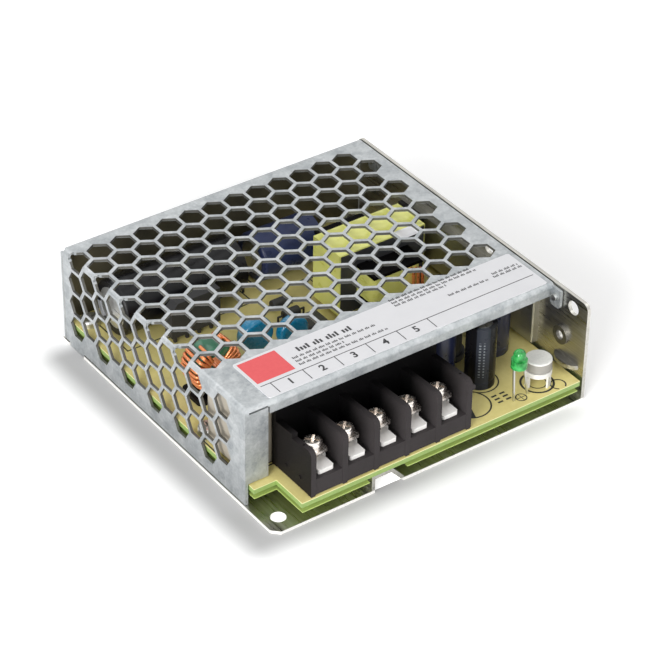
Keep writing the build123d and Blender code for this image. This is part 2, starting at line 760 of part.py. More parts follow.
def terminal_screw(pole):
    """Pan-headed cross-slotted screw, shown a few turns open."""
    x = pole_x(pole)
    top = head_bottom + SCREW_HEAD_HEIGHT
    head = post(x, screw_y, head_bottom, top, SCREW_HEAD / 2)
    head = fillet(head.edges().group_by(Axis.Z)[-1], SCREW_HEAD_HEIGHT * 0.45)
    for angle in (45, 135):
        slot = Box(SCREW_HEAD * 0.7, SCREW_SLOT, 2 * SCREW_SLOT_DEPTH)
        head -= Pos(x, screw_y, top) * Rot(0, 0, angle) * slot
    shank_bottom = head_bottom - SCREW_LENGTH
    shank = post(x, screw_y, shank_bottom, head_bottom, SCREW_SHANK / 2)
    shank = chamfer(shank.edges().group_by(Axis.Z)[0], 0.4)
    return head + shank


def clamp_washer(pole):
    """Square washer under the screw head, with two ribs that grip the wire."""
    x = pole_x(pole)
    half = WASHER_SIDE / 2
    washer = block(x - half, x + half, screw_y - half, screw_y + half, washer_bottom, head_bottom - 0.02)
    washer = chamfer(washer.edges().filter_by(Axis.Z), 0.5)
    for side in (-1, 1):
        washer -= block(x - half - 1, x + half + 1, screw_y + side * 2.1 - 0.25, screw_y + side * 2.1 + 0.25,
                        washer_bottom - 1, washer_bottom + 0.25)
    return washer - post(x, screw_y, washer_bottom - 1, head_bottom + 1, thread_bore)


led_x = wall_face - LED_FROM_WALL
led_y = front + LED_FROM_FRONT
led_base = board_top + LED_RISE


def status_led():
    """Round indicator lamp with a domed lens on a flange."""
    lens_radius = LED_LENS / 2
    body = post(led_x, led_y, led_base, led_base + LED_FLANGE_HEIGHT, LED_FLANGE / 2)
    lens_top = led_base + LED_HEIGHT - lens_radius
    body += post(led_x, led_y, led_base, lens_top, lens_radius)
    return body + Pos(led_x, led_y, lens_top) * Sphere(lens_radius)


def led_legs():
    """Two square lamp legs, standing on the board."""
    legs = []
    reach = LED_LEG_SPACING / 2
    angle = math.radians(LED_LEG_ANGLE)
    for side, (foot_x, foot_y) in zip((-1, 1), LED_FEET):
        top_x = led_x + side * reach * math.cos(angle)
        top_y = led_y + side * reach * math.sin(angle)
        lower = Plane.XY.offset(board_top) * Pos(led_x + foot_x, led_y + foot_y) * Rectangle(LED_LEG, LED_LEG)
        upper = Plane.XY.offset(led_base) * Pos(top_x, top_y) * Rectangle(LED_LEG, LED_LEG)
        legs.append(loft([lower, upper]))
    return legs


trimmer_x = wall_face - TRIMMER_FROM_WALL
trimmer_y = front + TRIMMER_FROM_FRONT
ring_bottom = board_top + TRIMMER_RISE
ring_top = ring_bottom + TRIMMER_RING_HEIGHT
knob_bottom = ring_top + TRIMMER_GAP


def trimmer_base():
    """Ceramic ring of the voltage adjuster, on three legs."""
    ring = post(trimmer_x, trimmer_y, ring_bottom, ring_top, TRIMMER_RING / 2)
    ring -= post(trimmer_x, trimmer_y, ring_bottom - 1, ring_top + 1, TRIMMER_PIVOT / 2 + 0.05)
    for angle in (-65, 55, 175):
        reach = TRIMMER_RING / 2 - 0.5
        place = Pos(trimmer_x, trimmer_y, (board_top + ring_bottom) / 2) * Rot(0, 0, angle) * Pos(reach, 0, 0)
        leg = place * Box(0.5, 1.8, ring_bottom - board_top)
        leg -= Pos(0, 0, 0.4) * place * Box(1.0, 0.7, (ring_bottom - board_top) * 0.5)
        ring += leg
    return ring


def trimmer_knob():
    """Disc that turns on a pivot in the ring, with a shallow edge mark."""
    top = knob_bottom + TRIMMER_KNOB_HEIGHT
    disc = post(trimmer_x, trimmer_y, knob_bottom, top, TRIMMER_KNOB / 2)
    disc = chamfer(disc.edges().group_by(Axis.Z)[-1], 0.25)
    disc += post(trimmer_x, trimmer_y, ring_bottom + 0.2, knob_bottom, TRIMMER_PIVOT / 2)
    edge = trimmer_y + TRIMMER_KNOB / 2
    return disc - block(trimmer_x - TRIMMER_MARK / 2, trimmer_x + TRIMMER_MARK / 2, edge - TRIMMER_MARK_DEPTH,
                        edge + 1, knob_bottom - 1, top + 1)


def two_leads(x, y, spacing, top):
    """Two round leads down to the board, side by side along X."""
    return [post(x + side * spacing / 2, y, board_top, top, LEAD / 2) for side in (-1, 1)]


def x_capacitor():
    """Moulded box capacitor across the mains input."""
    x0 = cover_left + BOX_CAP_LEFT
    y0 = block_rear + BOX_CAP_GAP
    base = board_top + STAND_OFF
    case = block(x0, x0 + BOX_CAP_WIDTH, y0, y0 + BOX_CAP_THICK, base, tall_top)
    case = fillet(case.edges().filter_by(Axis.Z) + case.edges().group_by(Axis.Z)[-1], 0.7)
    for x in (x0 + 1, x0 + BOX_CAP_WIDTH - 1):
        for y in (y0 + 1, y0 + BOX_CAP_THICK - 1):
            case += post(x, y, board_top, base + 0.2, 0.6)
    return case


choke_x = left + CHOKE_LEFT + CHOKE_CORE_OUTER / 2 + CHOKE_WIRE
choke_y = front + CHOKE_FROM_FRONT
choke_z = board_top + CHOKE_STAND + CHOKE_WIRE + CHOKE_CORE_OUTER / 2 + 0.3


def ring_section(grow):
    """Half section of the choke's ring, grown by a winding thickness."""
    inner = CHOKE_CORE_INNER / 2 - grow
    outer = CHOKE_CORE_OUTER / 2 + grow
    height = CHOKE_CORE_WIDTH + 2 * grow
    face = Plane.XY * Pos((inner + outer) / 2, 0) * Rectangle(outer - inner, height)
    return fillet(face.vertices(), 0.8)


def choke_core():
    """Coated ring core of the mains filter, standing on edge."""
    ring = revolve(ring_section(0), Axis.Y)
    return Pos(choke_x, choke_y, choke_z) * ring


def choke_windings():
    """Two copper windings, one on each side of the ring."""
    section = ring_section(CHOKE_WIRE) - ring_section(0.05)
    windings = []
    for start in (90 - CHOKE_ARC / 2, 270 - CHOKE_ARC / 2):
        turn = Pos(choke_x, choke_y, choke_z) * Rot(0, start - 90 + 180, 0)
        windings.append(turn * revolve(section, Axis.Y, CHOKE_ARC))
    return windings


def choke_stand():
    """Plastic foot under the mains choke."""
    half_x = 6.5
    half_y = 4.6
    foot = block(choke_x - half_x, choke_x + half_x, choke_y - half_y, choke_y + half_y,
                 board_top, board_top + CHOKE_STAND)
    post_top = choke_z - CHOKE_CORE_OUTER / 2 - 0.05
    cradle = block(choke_x - 1.2, choke_x + 1.2, choke_y - 3.0, choke_y + 3.0, board_top + CHOKE_STAND - 0.1,
                   post_top)
    return fillet(foot.edges().filter_by(Axis.Z), 1.5) + cradle


def disc_part(x, y, diameter, thick):
    """Round coated disc standing on two leads."""
    z = board_top + DISC_RISE + diameter / 2
    body = bar_y(x, y - thick / 2, y + thick / 2, z, diameter / 2)
    body = fillet(body.edges(), thick * 0.35)
    for lead in two_leads(x, y, diameter * 0.5, z - diameter * 0.2):
        body += lead
    return body


def input_fuse():
    """Small moulded fuse between the terminals and the filter."""
    x, y = on_board(FUSE_AT)
    body = post(x, y, board_top + STAND_OFF, board_top + FUSE_HEIGHT, FUSE_DIAMETER / 2)
    body = chamfer(body.edges().group_by(Axis.Z)[-1], 0.5)
    for lead in two_leads(x, y, FUSE_DIAMETER * 0.6, board_top + STAND_OFF + 0.5):
        body += lead
    return body


bulk_x0 = left + BULK_LEFT
bulk_y = rear - BULK_FROM_REAR
bulk_z = board_top + STAND_OFF + BULK_DIAMETER / 2


def lying_can(x0, length, y, z, diameter):
    """Aluminium can lying along X, with a beaded end and a vent cross."""
    radius = diameter / 2 - SLEEVE
    can = bar_x(x0, x0 + length, y, z, radius)
    can = fillet(can.edges().group_by(Axis.X)[0], 0.8)
    for angle in (0, 90):
        can -= Pos(x0, y, z) * Rot(angle, 0, 0) * Box(0.4, radius * 1.1, 0.3)
    return can - bar_x(x0 + length - BUNG, x0 + length + 1, y, z, radius - 0.6)


def lying_sleeve(x0, length, y, z, diameter):
    """Shrunk plastic sleeve that turns over the can's end."""
    radius = diameter / 2
    tube = bar_x(x0 - 0.2, x0 + length, y, z, radius)
    tube = fillet(tube.edges().group_by(Axis.X)[0], 0.9)
    tube -= bar_x(x0 - 1, x0 + 1, y, z, radius - 2.2)
    can = bar_x(x0, x0 + length + 1, y, z, radius - SLEEVE)
    return tube - fillet(can.edges().group_by(Axis.X)[0], 0.8)


def lying_bung(x0, length, y, z, diameter):
    """Rubber bung with two leads bent down to the board."""
    radius = diameter / 2 - SLEEVE - 0.6
    end = x0 + length
    bung = bar_x(end - BUNG, end - 0.3, y, z, radius)
    for side in (-1, 1):
        lead_y = y + side * diameter * 0.22
        bung += bar_x(end - 0.5, end + 1.2, lead_y, z, LEAD / 2)
        bung += post(end + 1.2, lead_y, board_top, z, LEAD / 2)
        bung += Pos(end + 1.2, lead_y, z) * Sphere(LEAD / 2)
    return bung


second_x0 = bulk_x0 + BULK_LENGTH + SECOND_GAP
second_z = board_top + STAND_OFF + SECOND_DIAMETER / 2


def standing_cap(x, y, diameter, top):
    """Sleeved electrolytic capacitor standing on the board."""
    radius = diameter / 2
    base = board_top
    tube = post(x, y, base, top, radius) - post(x, y, base - 1, top + 1, radius - SLEEVE)
    lip = post(x, y, top - 0.5, top, radius - SLEEVE / 2) - post(x, y, top - 1, top + 1, radius - 1.2)
    tube += lip
    return tube - Pos(x, y, base + 2.0) * Torus(radius, SLEEVE * 0.6)


def standing_can(x, y, diameter, top):
    """Aluminium can inside the sleeve, with a vent cross in its top."""
    radius = diameter / 2 - SLEEVE - 0.15
    can = post(x, y, board_top + STAND_OFF, top - 0.5, radius - 0.1)
    for angle in (0, 90):
        can -= Pos(x, y, top - 0.5) * Rot(0, 0, angle) * Box(radius * 1.2, 0.3, 0.5)
    for lead in two_leads(x, y, diameter * 0.4, board_top + STAND_OFF + 0.3):
        can += lead
    return can


core_x1 = wall_face - CORE_FROM_WALL
core_x0 = core_x1 - CORE_WIDTH
core_y0 = rear - CORE_FROM_REAR
core_y1 = core_y0 + CORE_THICK
core_z0 = board_top + CORE_LIFT
core_z1 = tall_top - TAPE
core_mid = (core_x0 + core_x1) / 2
window_z0 = core_z0 + CORE_YOKE
window_z1 = core_z1 - CORE_YOKE


def transformer_core():
    """Pair of ferrite cores around the bobbin."""
    core = block(core_x0, core_x1, core_y0, core_y1, core_z0, core_z1)
    inner = CORE_MIDDLE_LEG / 2
    core -= block(core_x0 + CORE_LEG, core_mid - inner, core_y0 - 1, core_y1 + 1, window_z0, window_z1)
    core -= block(core_mid + inner, core_x1 - CORE_LEG, core_y0 - 1, core_y1 + 1, window_z0, window_z1)
    return chamfer(core.edges().filter_by(Axis.Y).sort_by(Axis.X)[:2], 0.6)


def transformer_tape():
    """Yellow tape that binds the two cores."""
    outer = block(core_x0 - TAPE, core_x1 + TAPE, core_y0 + 0.2, core_y1 - 0.2, core_z0 - TAPE, core_z1 + TAPE)
    return outer - block(core_x0, core_x1, core_y0 - 1, core_y1 + 1, core_z0, core_z1)


def bobbin_frame(z0, z1, reach, wall):
    """Rectangular frame round the core's middle leg."""
    x0 = core_x0 + CORE_LEG + BOBBIN_CLEARANCE
    x1 = core_x1 - CORE_LEG - BOBBIN_CLEARANCE
    inner = CORE_MIDDLE_LEG / 2 + BOBBIN_CLEARANCE
    frame = block(x0, x1, core_y0 - reach, core_y1 + reach, z0, z1)
    hole = block(core_mid - inner - wall, core_mid + inner + wall, core_y0 - BOBBIN_CLEARANCE - wall,
                 core_y1 + BOBBIN_CLEARANCE + wall, z0 - 1, z1 + 1)
    return frame - hole


def transformer_bobbin():
    """Moulded bobbin with two flanges and its pin rails."""
    gap = BOBBIN_CLEARANCE
    low = window_z0 + gap
    high = window_z1 - gap
    bobbin = bobbin_frame(low, low + BOBBIN_FLANGE, BOBBIN_REACH, 0)
    bobbin += bobbin_frame(high - BOBBIN_FLANGE, high, BOBBIN_REACH, 0)
    inner = CORE_MIDDLE_LEG / 2 + gap
    wall = BOBBIN_WALL
    tube = block(core_mid - inner - wall, core_mid + inner + wall, core_y0 - gap - wall, core_y1 + gap + wall,
                 low, high)
    bobbin += tube - block(core_mid - inner, core_mid + inner, core_y0 - gap, core_y1 + gap, low - 1, high + 1)
    rail_gap = gap + 2 * wall
    for y0, y1 in ((core_y0 - BOBBIN_REACH, core_y0 - rail_gap), (core_y1 + rail_gap, core_y1 + BOBBIN_REACH)):
        bobbin += block(core_x0 + CORE_LEG + gap, core_x1 - CORE_LEG - gap, y0, y1, core_z0 + 0.6, low + 0.1)
        for k in range(BOBBIN_PINS):
            x = core_mid + (k - (BOBBIN_PINS - 1) / 2) * BOBBIN_PIN_PITCH
            bobbin += post(x, (y0 + y1) / 2, board_top, core_z0 + 0.8, BOBBIN_PIN / 2)
    return bobbin


def transformer_winding():
    """Winding round the bobbin's tube, closed with yellow tape."""
    low = window_z0 + BOBBIN_CLEARANCE + BOBBIN_FLANGE
    high = window_z1 - BOBBIN_CLEARANCE - BOBBIN_FLANGE
    coil = bobbin_frame(low, high, BOBBIN_REACH - 0.7, 0.85)
    coil &= block(core_x0 + CORE_LEG + BOBBIN_CLEARANCE + 0.1, core_x1 - CORE_LEG - BOBBIN_CLEARANCE - 0.1,
                  core_y0 - BOBBIN_REACH, core_y1 + BOBBIN_REACH, low, high)
    outer = [e for e in coil.edges().filter_by(Axis.Z) if abs(e.center().X - core_mid) > CORE_MIDDLE_LEG / 2 + 2.5]
    return fillet(outer, 2.4)


def transformer_leads():
    """Copper leads from the winding's front down to the pin rail."""
    leads = []
    y = core_y0 - BOBBIN_REACH - 0.6
    for k in range(3):
        x = core_x1 - CORE_LEG - 1.2 - k * LEAD_PITCH
        z = window_z1 - LEAD_DROP + 0.5 * k
        wire = bar_y(x, y, core_y0 - BOBBIN_REACH + 0.7, z, LEAD_WIRE / 2)
        wire += Pos(x, y, z) * Sphere(LEAD_WIRE / 2)
        leads.append(wire + post(x, y, board_top, z, LEAD_WIRE / 2))
    return leads


spreader_y0 = front + SPREADER_FROM_FRONT
spreader_z0 = board_top + SPREADER_LIFT
spreader_face = wall_face - SPREADER_THICK


def heat_spreader():
    """Aluminium bar that carries the heat of the power parts to the wall."""
    bar = block(spreader_face, wall_face, spreader_y0, spreader_y0 + SPREADER_LENGTH, spreader_z0,
                spreader_z0 + SPREADER_HEIGHT)
    bar = chamfer(edges_at(bar, Axis.Z, x=spreader_face), 0.3)
    return bar - [bar_x(spreader_face - 1, wall_face + 1, y, package_hole_z(), M3_THREAD / 2)
                  for y in package_places()]


def package_places():
    """Y of the two power packages along the heat spreader."""
    return [spreader_y0 + RECTIFIER_FROM_END, spreader_y0 + SPREADER_LENGTH - TRANSISTOR_FROM_END]


def package_hole_z():
    """Z of the hole in a package's tab."""
    return spreader_z0 + SPREADER_HEIGHT - PACKAGE_HOLE_DROP


def power_package(y):
    """Three-legged power package with its tab against the heat spreader."""
    half = PACKAGE_WIDTH / 2
    tab_top = package_hole_z() + PACKAGE_TAB / 2
    body_top = tab_top - PACKAGE_TAB
    body_bottom = body_top - PACKAGE_BODY
    body = block(spreader_face - PACKAGE_THICK, spreader_face, y - half, y + half, body_bottom, body_top)
    body = chamfer(body.edges().group_by(Axis.X)[0], 0.5)
    body += block(spreader_face - PACKAGE_TAB_THICK, spreader_face, y - half, y + half, body_bottom, tab_top)
    body -= bar_x(spreader_face - 5, spreader_face + 1, y, package_hole_z(), M3_CLEARANCE / 2)
    for k in (-1, 0, 1):
        leg_x = spreader_face - PACKAGE_THICK * 0.6
        leg_y = y + k * LEG_PITCH
        body += block(leg_x - 0.3, leg_x + 0.3, leg_y - 0.4, leg_y + 0.4, board_top, body_bottom + 0.1)
    return body


def package_screws():
    """Screws that clamp the packages to the heat spreader."""
    screws = []
    for y in package_places():
        tab_face = spreader_face - PACKAGE_TAB_THICK
        head = bar_x(tab_face - M3_HEAD_HEIGHT, tab_face, y, package_hole_z(), M3_HEAD / 2)
        head = fillet(head.edges().group_by(Axis.X)[0], M3_HEAD_HEIGHT * 0.4)
        head -= Pos(tab_face - M3_HEAD_HEIGHT, y, package_hole_z()) * Box(1.6, 3.0, 0.6)
        head -= Pos(tab_face - M3_HEAD_HEIGHT, y, package_hole_z()) * Box(1.6, 0.6, 3.0)
        shank = bar_x(tab_face, wall_face - 0.3, y, package_hole_z(), M3_THREAD / 2 - FIT_GAP / 2)
        screws.append(head + shank)
    return screws


def bridge_rectifier():
    """Flat moulded rectifier standing on four leads."""
    x0 = left + RECTIFIER_FROM_LEFT
    y0 = bulk_y - BULK_DIAMETER / 2 - RECTIFIER_BEFORE_CAN
    bottom = board_top + RECTIFIER_RISE
    top = bottom + RECTIFIER_BODY
    body = block(x0, x0 + RECTIFIER_LENGTH, y0, y0 + RECTIFIER_THICK, bottom, top)
    body = chamfer(edges_at(body, Axis.Y, x=x0, z=top), 2.0)
    for k in range(4):
        x = x0 + (k + 0.5) * RECTIFIER_LENGTH / 4
        y = y0 + RECTIFIER_THICK / 2
        body += block(x - 0.4, x + 0.4, y - 0.4, y + 0.4, board_top, bottom + 0.1)
    return body


def chip(x, y, length, width, height, pins):
    """Moulded chip with bent legs down both sides."""
    base = board_top + 0.5
    body = block(x - length / 2, x + length / 2, y - width / 2, y + width / 2, base, base + height)
    body = chamfer(body.edges().group_by(Axis.Z)[-1], 0.3)
    for k in range(pins):
        px = x + (k - (pins - 1) / 2) * LEG_PITCH
        for side in (-1, 1):
            edge = y + side * width / 2
            outer = edge + side * 0.7
            body += block(px - 0.4, px + 0.4, min(edge - side * 0.1, outer), max(edge - side * 0.1, outer),
                          base + 1.2, base + 1.5)
            body += block(px - 0.3, px + 0.3, min(outer, outer - side * 0.3), max(outer, outer - side * 0.3),
                          board_top, base + 1.4)
    return body


def output_choke():
    """Drum choke between the output capacitors."""
    x, y = near_wall(DRUM_FROM_WALL)
    bottom = board_top + STAND_OFF
    top = board_top + DRUM_HEIGHT
    body = post(x, y, bottom, bottom + DRUM_FLANGE, DRUM_DIAMETER / 2)
    body += post(x, y, bottom + DRUM_FLANGE, top - DRUM_FLANGE, DRUM_CORE / 2)
    body += post(x, y, top - DRUM_FLANGE, top, DRUM_DIAMETER / 2)
    for lead in two_leads(x, y, DRUM_CORE * 0.65, bottom + 0.3):
        body += lead
    return body


def lying_parts(places, radius, length):
    """Small axial parts lying on the board, with their leads bent down."""
    parts = []
    z = board_top + radius + STAND_OFF
    for x, y in places:
        part = bar_x(x - length / 2, x + length / 2, y, z, radius)
        part = fillet(part.edges(), radius * 0.3)
        parts.append(part + bent_wire(x, y, z, length / 2 + 1.6))
    return parts


def bent_wire(x, y, z, reach):
    """Wire along X with both ends bent down to the board."""
    radius = FINE_WIRE / 2
    wire = bar_x(x - reach, x + reach, y, z, radius)
    for side in (-1, 1):
        wire += post(x + side * reach, y, board_top, z, radius)
        wire += Pos(x + side * reach, y, z) * Sphere(radius)
    return wire


def jumper_wires():
    """Bare bridging wires on the board."""
    places = [spread_back(REAR_JUMPER_AT)] + [on_board(place) for place in JUMPERS_AT]
    return [bent_wire(x, y, board_top + 1.0, 5.0) for x, y in places]


small_cap = (wall_face - SMALL_CAP_FROM_WALL, front + SMALL_CAP_FROM_FRONT)
large_caps = [near_wall(place) for place in LARGE_CAPS_FROM_WALL]
resistor_places = [spread_across(place) for place in RESISTORS_AT]
diode_places = [spread_out(place) for place in DIODES_AT]
small_cap_top = lip_bottom - SMALL_CAP_LIP_GAP
large_cap_top = ceiling - LARGE_CAP_HEADROOM


def all_nodes():
    """Every separate piece by its name."""
    nodes = {
        "chassis_tray": chassis_tray(),
        "clinch_nuts": clinch_nuts(),
        "mesh_cover": mesh_cover(),
        "cover_screws": cover_screws(),
        "front_label": front_label(),
        "circuit_board": circuit_board(),
        "insulation_film": insulation_film(),
        "board_spacers": board_spacers(),
        "board_screws": board_screws(),
        "terminal_block": terminal_block(),
        "terminal_contacts": terminal_contacts(),
        "status_led": status_led(),
        "led_legs": led_legs(),
        "trimmer_base": trimmer_base(),
        "trimmer_knob": trimmer_knob(),
        "x_capacitor": x_capacitor(),
        "input_fuse": input_fuse(),
        "choke_core": choke_core(),
        "choke_windings": choke_windings(),
        "choke_stand": choke_stand(),
        "varistor": disc_part(*on_board(VARISTOR_AT), DISC_DIAMETER, DISC_THICK),
        "safety_capacitor": disc_part(*on_board(SAFETY_CAPACITOR_AT), DISC_DIAMETER - 1.0, DISC_THICK - 0.6),
        "thermistor": disc_part(*on_board(THERMISTOR_AT), DISC_DIAMETER - 1.5, DISC_THICK),
        "bridge_rectifier": bridge_rectifier(),
        "bulk_capacitor_can": lying_can(bulk_x0, BULK_LENGTH, bulk_y, bulk_z, BULK_DIAMETER),
        "bulk_capacitor_sleeve": lying_sleeve(bulk_x0, BULK_LENGTH, bulk_y, bulk_z, BULK_DIAMETER),
        "bulk_capacitor_bung": lying_bung(bulk_x0, BULK_LENGTH, bulk_y, bulk_z, BULK_DIAMETER),
        "second_capacitor_can": lying_can(second_x0, SECOND_LENGTH, bulk_y, second_z, SECOND_DIAMETER),
        "second_capacitor_sleeve": lying_sleeve(second_x0, SECOND_LENGTH, bulk_y, second_z, SECOND_DIAMETER),
        "second_capacitor_bung": lying_bung(second_x0, SECOND_LENGTH, bulk_y, second_z, SECOND_DIAMETER),
        "transformer_core": transformer_core(),
        "transformer_tape": transformer_tape(),
        "transformer_bobbin": transformer_bobbin(),
        "transformer_winding": transformer_winding(),
        "transformer_leads": transformer_leads(),
        "heat_spreader": heat_spreader(),
        "output_rectifier": power_package(package_places()[0]),
        "power_transistor": power_package(package_places()[1]),
        "package_screws": package_screws(),
        "front_capacitor_sleeve": standing_cap(*small_cap, SMALL_CAP_DIAMETER, small_cap_top),
        "front_capacitor_can": standing_can(*small_cap, SMALL_CAP_DIAMETER, small_cap_top),
        "output_capacitor_sleeves": [standing_cap(*p, LARGE_CAP_DIAMETER, large_cap_top) for p in large_caps],
        "output_capacitor_cans": [standing_can(*p, LARGE_CAP_DIAMETER, large_cap_top) for p in large_caps],
        "output_choke": output_choke(),
        "optocoupler": chip(*spread_across(OPTOCOUPLER_AT), OPTOCOUPLER_LENGTH, CHIP_DEPTH, CHIP_RISE, 2),
        "control_chip": chip(*spread_out(CHIP_AT), CHIP_LENGTH, CHIP_DEPTH, CHIP_RISE, 4),
        "resistors": lying_parts(resistor_places, RESISTOR_DIAMETER / 2, RESISTOR_LENGTH),
        "diodes": lying_parts(diode_places, DIODE_DIAMETER / 2, DIODE_LENGTH),
        "jumper_wires": jumper_wires(),
    }
    for pole in range(POLES):
        nodes[f"terminal_screw_{pole + 1}"] = terminal_screw(pole)
        nodes[f"clamp_washer_{pole + 1}"] = clamp_washer(pole)
    return nodes


def as_solids(shape):
    """The separate solids of a shape or of a list of shapes."""
    pieces = shape if isinstance(shape, (list, tuple)) else [shape]
    return [solid for piece in pieces for solid in piece.solids()]


os.makedirs("parts", exist_ok=True)
for name, shape in all_nodes().items():
    solids = as_solids(shape)
    export_step(solids[0] if len(solids) == 1 else Compound(children=solids), f"parts/{name}.step")
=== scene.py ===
import math

import bmesh
import bpy
from mathutils import Matrix, Vector


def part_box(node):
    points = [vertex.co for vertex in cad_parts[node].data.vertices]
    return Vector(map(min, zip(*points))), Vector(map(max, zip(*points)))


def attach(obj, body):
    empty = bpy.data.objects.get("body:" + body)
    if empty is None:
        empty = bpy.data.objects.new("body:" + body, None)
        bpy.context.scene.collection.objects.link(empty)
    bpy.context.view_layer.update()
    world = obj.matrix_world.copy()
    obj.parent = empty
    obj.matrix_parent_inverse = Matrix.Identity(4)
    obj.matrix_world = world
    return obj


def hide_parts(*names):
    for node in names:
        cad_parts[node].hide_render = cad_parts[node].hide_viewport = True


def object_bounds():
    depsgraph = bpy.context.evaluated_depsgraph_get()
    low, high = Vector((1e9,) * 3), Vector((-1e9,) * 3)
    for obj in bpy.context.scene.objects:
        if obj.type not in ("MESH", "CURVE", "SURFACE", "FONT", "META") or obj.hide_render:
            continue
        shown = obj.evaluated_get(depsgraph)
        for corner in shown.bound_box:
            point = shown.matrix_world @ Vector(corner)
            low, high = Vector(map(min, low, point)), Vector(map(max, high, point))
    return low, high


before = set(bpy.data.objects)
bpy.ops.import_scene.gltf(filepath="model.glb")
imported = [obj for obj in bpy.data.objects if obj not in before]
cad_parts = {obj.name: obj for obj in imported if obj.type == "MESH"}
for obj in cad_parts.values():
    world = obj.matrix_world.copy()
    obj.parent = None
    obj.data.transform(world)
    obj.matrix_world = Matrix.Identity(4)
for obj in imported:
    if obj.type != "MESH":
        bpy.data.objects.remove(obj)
cad_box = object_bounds()


# Chassis tray: mill-finish aluminium sheet, folded once, with a fine rolling grain, and its sheared
# edges painted near white and less metallic as a highlight. The three helper classes below carry
# every finish of the supply.
NOISE_LOW = 0.3
NOISE_HIGH = 0.7
NOISE_ROUGHNESS = 0.55


class Flow:
    """One output of a node. Arithmetic on it adds Math nodes."""

    def __init__(self, nodes, socket):
        self.nodes = nodes
        self.socket = socket

    def maths(self, operation, *others):
        return self.nodes.add("ShaderNodeMath", {"operation": operation}, dict(enumerate((self, *others))))

    def __add__(self, other):
        return self.maths("ADD", other)

    def __sub__(self, other):
        return self.maths("SUBTRACT", other)

    def __rsub__(self, other):
        return self.nodes.add("ShaderNodeMath", {"operation": "SUBTRACT"}, {0: other, 1: self})

    def __mul__(self, other):
        return self.maths("MULTIPLY", other)

    def __gt__(self, other):
        return self.maths("GREATER_THAN", other)

    def __lt__(self, other):
        return self.maths("LESS_THAN", other)

    def larger(self, other):
        return self.maths("MAXIMUM", other)

    def absolute(self):
        return self.maths("ABSOLUTE")


class Nodes:
    """Node tree with its closing shader, and one method that adds any other node."""

    def __init__(self, tree, shader):
        self.tree = tree
        self.shader = tree.nodes[shader]

    def add(self, kind, settings=None, inputs=None, output=0):
        """New node with its settings and inputs. Gives one of its outputs."""
        node = self.tree.nodes.new(kind)
        for key, value in (settings or {}).items():
            setattr(node, key, value)
        self.connect(node, inputs or {})
        return Flow(self, node.outputs[output])

    def connect(self, node, inputs):
        """Links or sets inputs of a node."""
        for key, value in inputs.items():
            socket = node.inputs[key]
            if isinstance(value, Flow):
                self.tree.links.new(value.socket, socket)
            elif socket.type == "RGBA":
                socket.default_value = (*value, 1)
            else:
                socket.default_value = value

    def feed(self, **inputs):
        """Links or sets inputs of the shader, whose names have _ for a space here."""
        self.connect(self.shader, {key.replace("_", " "): value for key, value in inputs.items()})
        return self

    def ramp(self, value, start, end, low=0.0, high=1.0, **settings):
        """Value mapped so that start gives low and end gives high, and held beyond them."""
        return self.add("ShaderNodeMapRange", settings, {0: value, 1: start, 2: end, 3: low, 4: high})

    def light_path(self, kind):
        """One for rays of a kind, and nothing for the others."""
        return self.add("ShaderNodeLightPath", output=f"Is {kind} Ray")


class Finish(Nodes):
    """One finish of the supply, on a Principled shader."""

    def __init__(self, name, **constants):
        self.material = bpy.data.materials.new(name)
        self.material.use_nodes = True
        super().__init__(self.material.node_tree, "Principled BSDF")
        self.feed(**constants)

    def place(self):
        """Position on the piece, in metres of the shared frame."""
        return self.add("ShaderNodeTexCoord", output="Object")

    def axes(self):
        """The three coordinates of the place."""
        split = self.add("ShaderNodeSeparateXYZ", {}, {0: self.place()})
        return [Flow(self, output) for output in split.socket.node.outputs]

    def noise(self, size, detail=3.0, stretch=(1, 1, 1)):
        """Cloudy variation from 0 to 1 with features of about the given size in metres."""
        point = self.add("ShaderNodeVectorMath", {"operation": "MULTIPLY"}, {0: self.place(), 1: stretch})
        return self.add("ShaderNodeTexNoise", {}, {"Vector": point, "Scale": 1 / size, "Detail": detail,
                                                   "Roughness": NOISE_ROUGHNESS})

    def between(self, mask, low, high):
        """Noise stretched to lie between two values."""
        return self.ramp(mask, NOISE_LOW, NOISE_HIGH, low, high)

    def tint(self, mask, first, second):
        """Colour that goes from the first to the second as the mask goes from 0 to 1."""
        return self.add("ShaderNodeMix", {"data_type": "RGBA"}, {0: mask, 6: first, 7: second}, 2)

    def relief(self, height, depth, strength=0.4):
        """Bump from a height of 0 to 1 and its depth in metres."""
        normal = self.add("ShaderNodeBump", {}, {"Strength": strength, "Distance": depth, "Height": height})
        return self.feed(Normal=normal)


def screen(red, green, blue):
    """Linear colour of a colour as a screen shows it, from 0 to 255."""
    parts = [value / 255 for value in (red, green, blue)]
    return tuple(v / 12.92 if v <= 0.04045 else ((v + 0.055) / 1.055) ** 2.4 for v in parts)


def dress(finish, *names):
    """Gives CAD nodes a finish."""
    for name in names:
        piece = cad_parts[name]
        for slot in piece.material_slots:
            slot.link = "OBJECT"
            slot.material = finish.material


TRAY_TOP = 0.001
EDGE_SKIN = 0.00005
DRAWN_ALONG_Y = (1, 0.03, 1)
tray = Finish("tray_aluminium")
grain = tray.noise(0.0006, 4.0, DRAWN_ALONG_Y)
cloud = tray.noise(0.012, 2.0)
up = tray.axes()[2]
# Painted highlight: the sheared edge faces are near white and barely metallic.
sheared_highlight = (up > EDGE_SKIN) * (up < TRAY_TOP - EDGE_SKIN)
rolled = tray.tint(tray.between(grain + cloud - 0.5, 0, 1), screen(182, 180, 173), screen(208, 206, 199))
tray.feed(Base_Color=tray.tint(sheared_highlight, rolled, screen(248, 246, 242)), Metallic=1.0 - sheared_highlight * 0.85,
          Roughness=tray.between(grain, 0.24, 0.38))
tray.relief(grain, 0.00002)
dress(tray, "chassis_tray")
